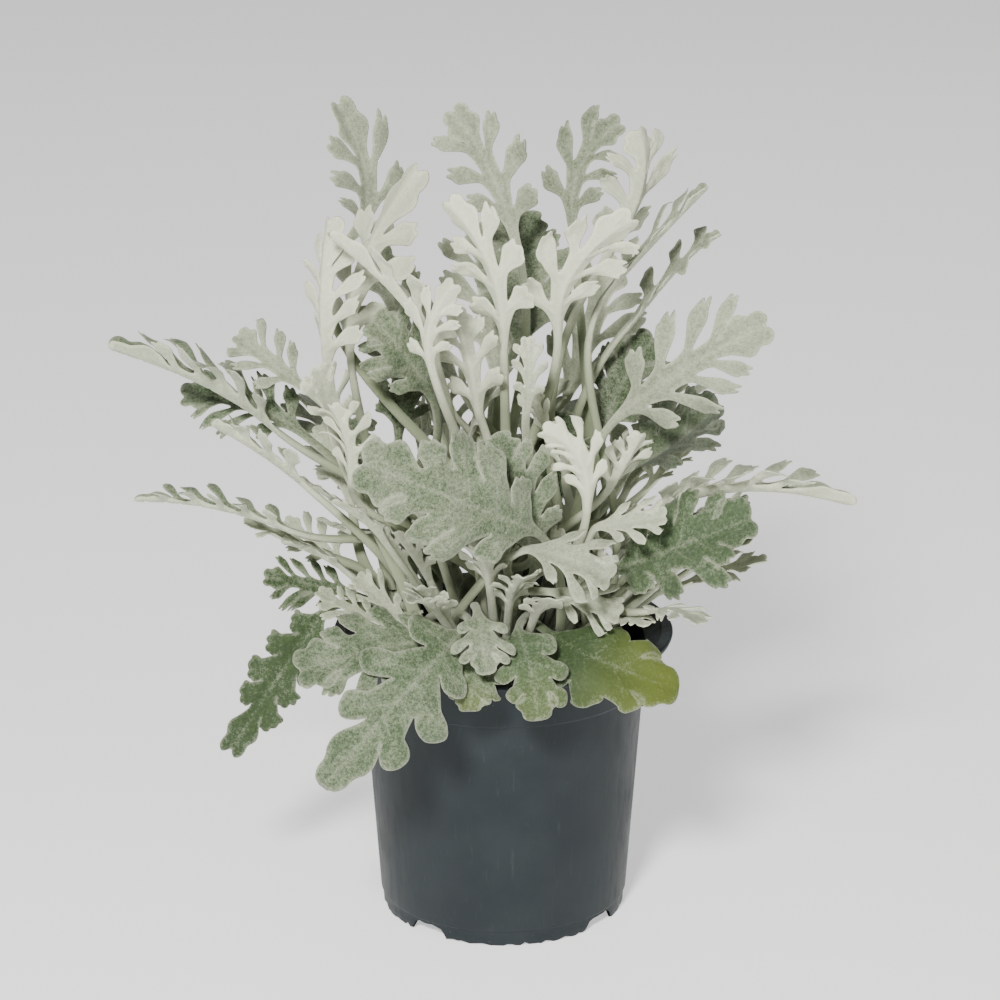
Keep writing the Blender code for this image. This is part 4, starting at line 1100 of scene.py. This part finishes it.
def pot_plastic():
    """Satin moulded plastic with a fine grain, dull scuffs and a little dried soil."""
    paint = Paint("moulded_pot_plastic")
    cloud = paint.noise(34.0, 3.0, 0.55)
    grain = paint.noise(0.55, 2.0, 0.5)
    scuff = paint.noise(3.0, 4.0, 0.7, stretch=(1.0, 1.0, 0.16))
    dust = paint.ramp(paint.noise(1.1, 2.0, 0.6), 0.71, 0.76)
    near_rim = paint.ramp(paint.height(), 0.100, 0.145, 0.15, 1.0)
    near_foot = paint.ramp(paint.height(), 0.0, 0.018, 1.0, 0.0)
    dust = paint.math("MULTIPLY", dust, paint.math("MAXIMUM", near_rim, near_foot))
    base = paint.mix(paint.ramp(cloud, 0.3, 0.7), (0.016, 0.021, 0.024), (0.021, 0.027, 0.030))
    base = paint.mix(paint.ramp(scuff, 0.55, 0.8, 0.0, 0.35), base, (0.050, 0.060, 0.064))
    colour = paint.mix(paint.math("MULTIPLY", dust, 0.8), base, (0.16, 0.13, 0.10))
    roughness = paint.math("ADD", paint.ramp(cloud, 0.3, 0.7, 0.40, 0.50),
                           paint.ramp(scuff, 0.4, 0.8, 0.0, 0.16))
    height = paint.math("ADD", grain, paint.math("MULTIPLY", scuff, 0.5))
    return paint.finish(colour, roughness, paint.bump(height, 0.12, 0.25), Specular_IOR_Level=0.16)


def peat():
    """Dark crumbly peat with paler fibres in it."""
    paint = Paint("peat_soil")
    crumb = paint.noise(2.2, 4.0, 0.7)
    fine = paint.noise(0.7, 3.0, 0.7)
    colour = paint.mix(paint.ramp(crumb, 0.35, 0.65), (0.016, 0.012, 0.009), (0.060, 0.044, 0.031))
    colour = paint.mix(paint.ramp(fine, 0.60, 0.72, 0.0, 0.7), colour, (0.13, 0.10, 0.07))
    normal = paint.bump(paint.math("ADD", crumb, fine), 0.8, 1.2)
    return paint.finish(colour, 0.96, normal)


def studio_floor():
    paint = Paint("pale_floor")
    soft = paint.noise(240.0, 2.0, 0.5)
    return paint.finish(paint.mix(soft, (0.88, 0.88, 0.88), (0.91, 0.91, 0.91)), 0.85,
                        Emission_Color=(1.0, 1.0, 1.0), Emission_Strength=FLOOR_GLOW)


def lathe(profile, sides):
    """Turns a closed profile of (radius, height) round the Z axis; radius 0 lies on it."""
    verts = []
    rings = []
    for radius, height in profile:
        if radius <= 0.0:
            rings.append([len(verts)])
            verts.append((0.0, 0.0, height))
            continue
        rings.append(list(range(len(verts), len(verts) + sides)))
        for k in range(sides):
            angle = math.tau * k / sides
            verts.append((radius * math.cos(angle), radius * math.sin(angle), height))
    faces = []
    for low, high in zip(rings, rings[1:]):
        for k in range(sides):
            n = (k + 1) % sides
            if len(low) == 1:
                faces.append((low[0], high[k], high[n]))
            elif len(high) == 1:
                faces.append((low[k], low[n], high[0]))
            else:
                faces.append((low[k], low[n], high[n], high[k]))
    return verts, faces


def eased(profile, radius):
    """Rounds each corner of a profile with a small arc, leaving its two ends on the axis."""
    points = [profile[0]]
    for before, corner, after in zip(profile, profile[1:], profile[2:]):
        corner_at = np.array(corner, dtype=float)
        for share in (0.0, 0.5, 1.0):
            back = np.array(before) - corner_at
            on = np.array(after) - corner_at
            reach_back = min(radius, 0.45 * np.linalg.norm(back))
            reach_on = min(radius, 0.45 * np.linalg.norm(on))
            a = corner_at + unit(back) * reach_back
            b = corner_at + unit(on) * reach_on
            spot = (1 - share) ** 2 * a + 2 * share * (1 - share) * corner_at + share ** 2 * b
            points.append((float(spot[0]), float(spot[1])))
    return points + [profile[-1]]


def wall_radius(height):
    """Outer radius of the tapered wall below the collar."""
    share = (height - WALL_FOOT_Z) / (COLLAR_FOOT_Z - WALL_FOOT_Z)
    return WALL_FOOT_RADIUS + (WALL_TOP_RADIUS - WALL_FOOT_RADIUS) * share


def pot_profile():
    """The pot's section, from the middle of its floor out over the rim and down to the foot."""
    lip_z = POT_HEIGHT - RIM_LIP_HEIGHT
    plate_top = PLATE_UNDERSIDE_Z + PLATE_THICKNESS
    inner_wall_top = COLLAR_FOOT_Z - 1.2
    ring_inside = FOOT_RADIUS - FOOT_RING_THICKNESS
    return [
        (0.0, plate_top),
        (wall_radius(plate_top) - WALL_THICKNESS, plate_top),
        (wall_radius(inner_wall_top) - WALL_THICKNESS, inner_wall_top),
        (COLLAR_RADIUS - WALL_THICKNESS, POT_HEIGHT - 5.6),
        (RIM_INNER_RADIUS - 0.5, POT_HEIGHT - 0.9),
        (RIM_INNER_RADIUS, POT_HEIGHT),
        (RIM_RADIUS - 0.9, POT_HEIGHT),
        (RIM_RADIUS, POT_HEIGHT - 0.9),
        (RIM_RADIUS - 0.1, lip_z + 1.5),
        (RIM_RADIUS - 0.7, lip_z + 1.2),
        (RIM_RADIUS - 0.7, lip_z),
        (COLLAR_RADIUS + 0.8, lip_z - 0.6),
        (COLLAR_RADIUS - 1.1, COLLAR_FOOT_Z),
        (WALL_TOP_RADIUS, COLLAR_FOOT_Z - 0.6),
        (0.5 * (WALL_TOP_RADIUS + WALL_FOOT_RADIUS), 0.5 * (COLLAR_FOOT_Z + WALL_FOOT_Z)),
        (WALL_FOOT_RADIUS, WALL_FOOT_Z),
        (FOOT_RADIUS, WALL_FOOT_Z - 0.7),
        (FOOT_RADIUS - 0.1, 4.0),
        (FOOT_RADIUS - 0.3, 0.0),
        (ring_inside, 0.0),
        (ring_inside - 0.1, 4.0),
        (ring_inside - 0.3, PLATE_UNDERSIDE_Z),
        (0.0, PLATE_UNDERSIDE_Z),
    ]


def prism(outline, low, highs):
    """A closed upright block on a flat outline, with its own height at each corner."""
    count = len(outline)
    verts = [(x, y, low) for x, y in outline] + [(x, y, z) for (x, y), z in zip(outline, highs)]
    faces = [tuple(reversed(range(count))), tuple(range(count, 2 * count))]
    faces += [(k, (k + 1) % count, count + (k + 1) % count, count + k) for k in range(count)]
    return verts, faces


def foot_cutter():
    """Wedges that part the foot ring into feet, with torn edges, and pins for the drain holes."""
    rng = random.Random(5)
    verts = []
    faces = []

    def take(block):
        start = len(verts)
        verts.extend(block[0])
        faces.extend(tuple(start + i for i in face) for face in block[1])

    inner = FOOT_RADIUS - 6.0
    outer = FOOT_RADIUS + 6.0
    steps = 8
    for k in range(FOOT_COUNT):
        middle = math.radians(-90.0 + FOOT_TURN) + math.pi / FOOT_COUNT + math.tau * k / FOOT_COUNT
        half = math.radians(FOOT_NOTCH_ANGLE / 2.0)
        turns = [middle + half * (2.0 * i / steps - 1.0) for i in range(steps + 1)]
        tops = [FOOT_NOTCH_HEIGHT * (1.0 - 0.75 * abs(2.0 * i / steps - 1.0) ** 5) - rng.uniform(0.0, 0.7)
                for i in range(steps + 1)]
        for i in range(steps):
            corners = [(inner, turns[i]), (outer, turns[i]), (outer, turns[i + 1]), (inner, turns[i + 1])]
            outline = [(r * math.cos(a), r * math.sin(a)) for r, a in corners]
            take(prism(outline, -4.0, (tops[i], tops[i], tops[i + 1], tops[i + 1])))
    holes = [(0.0, 0.0)]
    for k in range(FOOT_COUNT):
        angle = math.radians(-90.0 + FOOT_TURN) + math.tau * k / FOOT_COUNT
        holes.append((DRAIN_CIRCLE_RADIUS * math.cos(angle), DRAIN_CIRCLE_RADIUS * math.sin(angle)))
    for cx, cy in holes:
        ring = [(cx + DRAIN_HOLE_RADIUS * math.cos(math.tau * k / 24),
                 cy + DRAIN_HOLE_RADIUS * math.sin(math.tau * k / 24)) for k in range(24)]
        take(prism(ring, PLATE_UNDERSIDE_Z - 3.0, [PLATE_UNDERSIDE_Z + PLATE_THICKNESS + 3.0] * 24))
    return verts, faces


def torn_edge(angle):
    """How far the foot's lower edge is worn away at an angle round the pot (mm)."""
    wave = noise.noise(Vector((9.0 * math.cos(angle), 9.0 * math.sin(angle), 2.0)))
    bite = noise.noise(Vector((26.0 * math.cos(angle), 26.0 * math.sin(angle), 7.0)))
    return max(0.0, 2.2 * wave) + max(0.0, 3.4 * (bite - 0.12))


def build_pot(paint):
    """The turned pot with a worn foot, cut into feet and bored for its drain holes."""
    verts, faces = lathe(eased(pot_profile(), 0.45), POT_SIDES)
    worn = []
    for x, y, z in verts:
        if z < 0.6 and math.hypot(x, y) > FOOT_RADIUS - 4.0:
            z += torn_edge(math.atan2(y, x))
        worn.append((x, y, z))
    pot = add_mesh("moulded_pot", worn, faces)
    cutter = add_mesh("pot_cutter", *foot_cutter(), smooth=False)
    cut = pot.modifiers.new("feet_and_drain_holes", "BOOLEAN")
    cut.operation = "DIFFERENCE"
    cut.solver = "EXACT"
    cut.use_self = True
    cut.object = cutter
    graph = bpy.context.evaluated_depsgraph_get()
    baked = bpy.data.meshes.new_from_object(pot.evaluated_get(graph))
    pot.modifiers.clear()
    pot.data = baked
    bpy.data.objects.remove(cutter, do_unlink=True)
    split = pot.modifiers.new("crisp_edges", "EDGE_SPLIT")
    split.split_angle = math.radians(50.0)
    pot.data.materials.clear()
    pot.data.materials.append(paint)
    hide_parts("pot")


def lump(rng, centre, size, detail):
    """A small irregular crumb: a ball of rings pushed in and out."""
    verts = []
    faces = []
    sides = 5 + detail
    rings = 3 + detail // 2
    seed = Vector((rng.uniform(0.0, 50.0), rng.uniform(0.0, 50.0), 0.0))
    stretch = (rng.uniform(0.7, 1.3), rng.uniform(0.7, 1.3), rng.uniform(0.5, 0.9))
    verts.append((centre[0], centre[1], centre[2] - size * stretch[2]))
    for ring in range(1, rings):
        tilt = math.pi * ring / rings
        for k in range(sides):
            turn = math.tau * (k + 0.5 * (ring % 2)) / sides
            spoke = Vector((math.sin(tilt) * math.cos(turn), math.sin(tilt) * math.sin(turn),
                            -math.cos(tilt)))
            out = size * (1.0 + 0.45 * noise.noise(spoke * 1.7 + seed))
            verts.append(tuple(c + out * s * v for c, s, v in zip(centre, stretch, spoke)))
    verts.append((centre[0], centre[1], centre[2] + size * stretch[2]))
    last = len(verts) - 1
    for k in range(sides):
        n = (k + 1) % sides
        faces.append((0, 1 + n, 1 + k))
        faces.append((last, last - sides + k, last - sides + n))
        for ring in range(rings - 2):
            a = 1 + ring * sides
            faces.append((a + k, a + n, a + sides + n, a + sides + k))
    return verts, faces


def soil_height(x, y):
    """Height of the soil's uneven top, a shallow mound round the trunk (mm)."""
    radius = math.hypot(x, y)
    share = min(max((radius - TRUNK_RADIUS) / (SOIL_RADIUS - TRUNK_RADIUS), 0.0), 1.0)
    mound = SOIL_MOUND * math.sin(math.pi * min(1.0, share * 1.15)) ** 0.8
    rough = 1.5 * noise.noise(Vector((x / 9.0, y / 9.0, 1.0))) + 0.8 * noise.noise(
        Vector((x / 3.2, y / 3.2, 4.0)))
    return SOIL_EDGE_Z + mound + rough * math.sin(math.pi * min(1.0, 0.08 + share * 0.92)) ** 0.5


def build_soil(paint):
    """The root ball with its hole for the trunk, and crumbs strewn over its top."""
    rng = random.Random(11)
    floor_z = PLATE_UNDERSIDE_Z + PLATE_THICKNESS + GAP
    sides = 96
    rings = 30
    profile = [(0.0, floor_z), (wall_radius(floor_z) - WALL_THICKNESS - GAP - 0.4, floor_z)]
    profile += [(SOIL_RADIUS + (TRUNK_RADIUS + 0.3 - SOIL_RADIUS) * k / rings, SOIL_EDGE_Z)
                for k in range(rings + 1)]
    profile += [(TRUNK_RADIUS + 0.3, TRUNK_FOOT_Z - GAP), (0.0, TRUNK_FOOT_Z - GAP)]
    verts, faces = lathe(profile, sides)
    verts = [(x, y, soil_height(x, y)) if z == SOIL_EDGE_Z else (x, y, z) for x, y, z in verts]
    for index in range(CRUMBS):
        radius = math.sqrt(rng.uniform((TRUNK_RADIUS + 2.0) ** 2, (SOIL_RADIUS - 2.0) ** 2))
        turn = rng.uniform(0.0, math.tau)
        size = 0.5 + 1.9 * rng.random() ** 3
        x = radius * math.cos(turn)
        y = radius * math.sin(turn)
        centre = (x, y, soil_height(x, y) + 0.35 * size)
        block, sides_of = lump(rng, centre, size, 2 if size > 1.4 else 0)
        start = len(verts)
        verts += block
        faces += [tuple(start + i for i in face) for face in sides_of]
    soil = add_mesh("crumbly_soil", verts, faces)
    soil.data.materials.append(paint)
    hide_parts("soil")


def build_stems(paint):
    """The trunk stub and its branches, as smooth tubes with old leaf scars swelling them."""
    verts = []
    faces = []

    def tube(line, radii, sides):
        start = len(verts)
        carried = Vector((0.31, -0.95, 0.05))
        for ring, (spot, radius) in enumerate(zip(line, radii)):
            on = line[min(ring + 1, len(line) - 1)] - line[max(ring - 1, 0)]
            carried = (carried - on.normalized() * carried.dot(on.normalized())).normalized()
            other = on.normalized().cross(carried)
            for k in range(sides):
                turn = math.tau * k / sides
                spoke = math.cos(turn) * carried + math.sin(turn) * other
                bark = 1.0 + 0.07 * noise.noise(spot / 2.4 + spoke * 1.3)
                verts.append(tuple(spot + spoke * radius * bark))
        for ring in range(len(line) - 1):
            for k in range(sides):
                n = (k + 1) % sides
                low = start + ring * sides
                faces.append((low + k, low + n, low + sides + n, low + sides + k))
        faces.append(tuple(start + k for k in reversed(range(sides))))
        faces.append(tuple(start + (len(line) - 1) * sides + k for k in range(sides)))

    rings = 14
    heights = [TRUNK_FOOT_Z + (TRUNK_TOP_Z - 2.0 - TRUNK_FOOT_Z) * k / rings for k in range(rings + 1)]
    girths = [TRUNK_RADIUS * (0.96 - 0.22 * (k / rings) ** 6 + 0.03 * math.sin(1.9 * k))
              for k in range(rings + 1)]
    tube([Vector((0.0, 0.0, z)) for z in heights], girths, 28)
    for index, points in enumerate(STEMS.values()):
        line = []
        radii = []
        steps = 34
        for step in range(steps + 1):
            share = step / steps
            spot, _ = bend(points, share)
            scar = 0.10 * max(0.0, math.sin(share * 30.0 + index)) ** 6
            tip = math.sqrt(max(0.0, 1.0 - (step / steps) ** 18))
            line.append(spot)
            radii.append(stem_radius(share) * (0.98 + scar) * max(0.25, tip))
        tube(line, radii, 14)
    stems = add_mesh("felted_crown_and_stems", verts, faces)
    stems.data.materials.append(paint)
    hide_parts("crown_and_stems")


def area_light(name, place, target, size, power, colour=(1.0, 1.0, 1.0)):
    data = bpy.data.lights.new(name, "AREA")
    data.shape = "DISK"
    data.size = size
    data.energy = power
    data.color = colour
    lamp = bpy.data.objects.new(name, data)
    lamp.location = place
    lamp.rotation_euler = (Vector(target) - Vector(place)).to_track_quat("-Z", "Y").to_euler()
    bpy.context.scene.collection.objects.link(lamp)


def build_studio():
    """Pale floor, soft light from the front and above, and the camera of the photograph."""
    corners = [(-9000, -9000, 0), (9000, -9000, 0), (9000, 12000, 0), (-9000, 12000, 0)]
    floor = add_mesh("studio_floor", corners, [(0, 1, 2, 3)], smooth=False)
    floor.data.materials.append(studio_floor())
    world = bpy.data.worlds.new("studio_air")
    bpy.context.scene.world = world
    world.use_nodes = True
    world.node_tree.nodes["Background"].inputs["Color"].default_value = (1.0, 1.0, 1.0, 1.0)
    world.node_tree.nodes["Background"].inputs["Strength"].default_value = WORLD_LIGHT
    middle = (0.0, 0.0, 0.2)
    area_light("key", (-0.42, -1.95, 1.62), middle, 0.42, KEY_LIGHT, (1.0, 0.985, 0.96))
    area_light("fill", (1.6, -1.5, 0.9), middle, 1.6, FILL_LIGHT)
    area_light("back", (0.2, 1.9, 1.6), middle, 1.4, BACK_LIGHT)
    camera = bpy.data.objects.new("camera", bpy.data.cameras.new("camera"))
    bpy.context.scene.collection.objects.link(camera)
    bpy.context.scene.camera = camera
    camera.data.sensor_width = 36.0
    camera.data.lens = 36.0 * FOCAL_PIXELS / PHOTO_PIXELS
    rise = math.radians(CAMERA_RISE)
    target = Vector(CAMERA_TARGET) * MM
    away = Vector((0.0, -math.cos(rise), math.sin(rise)))
    camera.location = target + away * CAMERA_DISTANCE * MM
    camera.rotation_euler = (-away).to_track_quat("-Z", "Y").to_euler()
    camera.data.clip_start = 0.05
    camera.data.clip_end = 60.0


def leaf_whiteness(spec):
    """How thick a leaf's felt is, from 0 for bare green to 1 for white."""
    name, kind = spec[:2]
    rng = random.Random(name + "white")
    base = KIND_FELT[kind]
    if name.startswith("young_"):
        base = YOUNG_FELT
    if name.startswith("fan_"):
        base = FAN_FELT
    if name in GREEN_LEAVES:
        base = GREEN_FELT
    return FELT.get(name, base + rng.uniform(-FELT_SPREAD, FELT_SPREAD))


def main():
    """Builds the studio, the pot, the soil, the stems, the large leaves and the smaller ones."""
    paints = {
        "silver": felt("silver_felt_leaf", tissue=(0.040, 0.072, 0.024), hairs=(0.64, 0.67, 0.50),
                       stalk_colour=(0.19, 0.23, 0.125), sheen=0.14),
        "green": felt("green_felt_leaf", tissue=(0.022, 0.046, 0.008), hairs=(0.56, 0.59, 0.46),
                      stalk_colour=(0.14, 0.18, 0.08), sheen=0.06),
    }
    build_studio()
    build_pot(pot_plastic())
    build_soil(peat())
    build_stems(stem_felt())
    used = []
    others = []
    for spec in LEAVES:
        leaf = build_leaf(spec, used, paints)
        corners = np.array([vertex.co for vertex in leaf.data.vertices]) / MM
        others.append(skin_tree(corners, [tuple(face.vertices) for face in leaf.data.polygons]))
    rng = random.Random(77)
    fan = (fan_leaf(rng, index % FAN_LEAVES, index) for index in range(40 * FAN_LEAVES))
    build_young_growth("fan_of_stalks", fan, FAN_LEAVES, paints["silver"], others)
    shoots = (shoot_leaf(rng, attempt) for attempt in range(YOUNG_TRIES))
    build_young_growth("young_leaves", shoots, YOUNG_LEAVES, paints["silver"], others)


main()
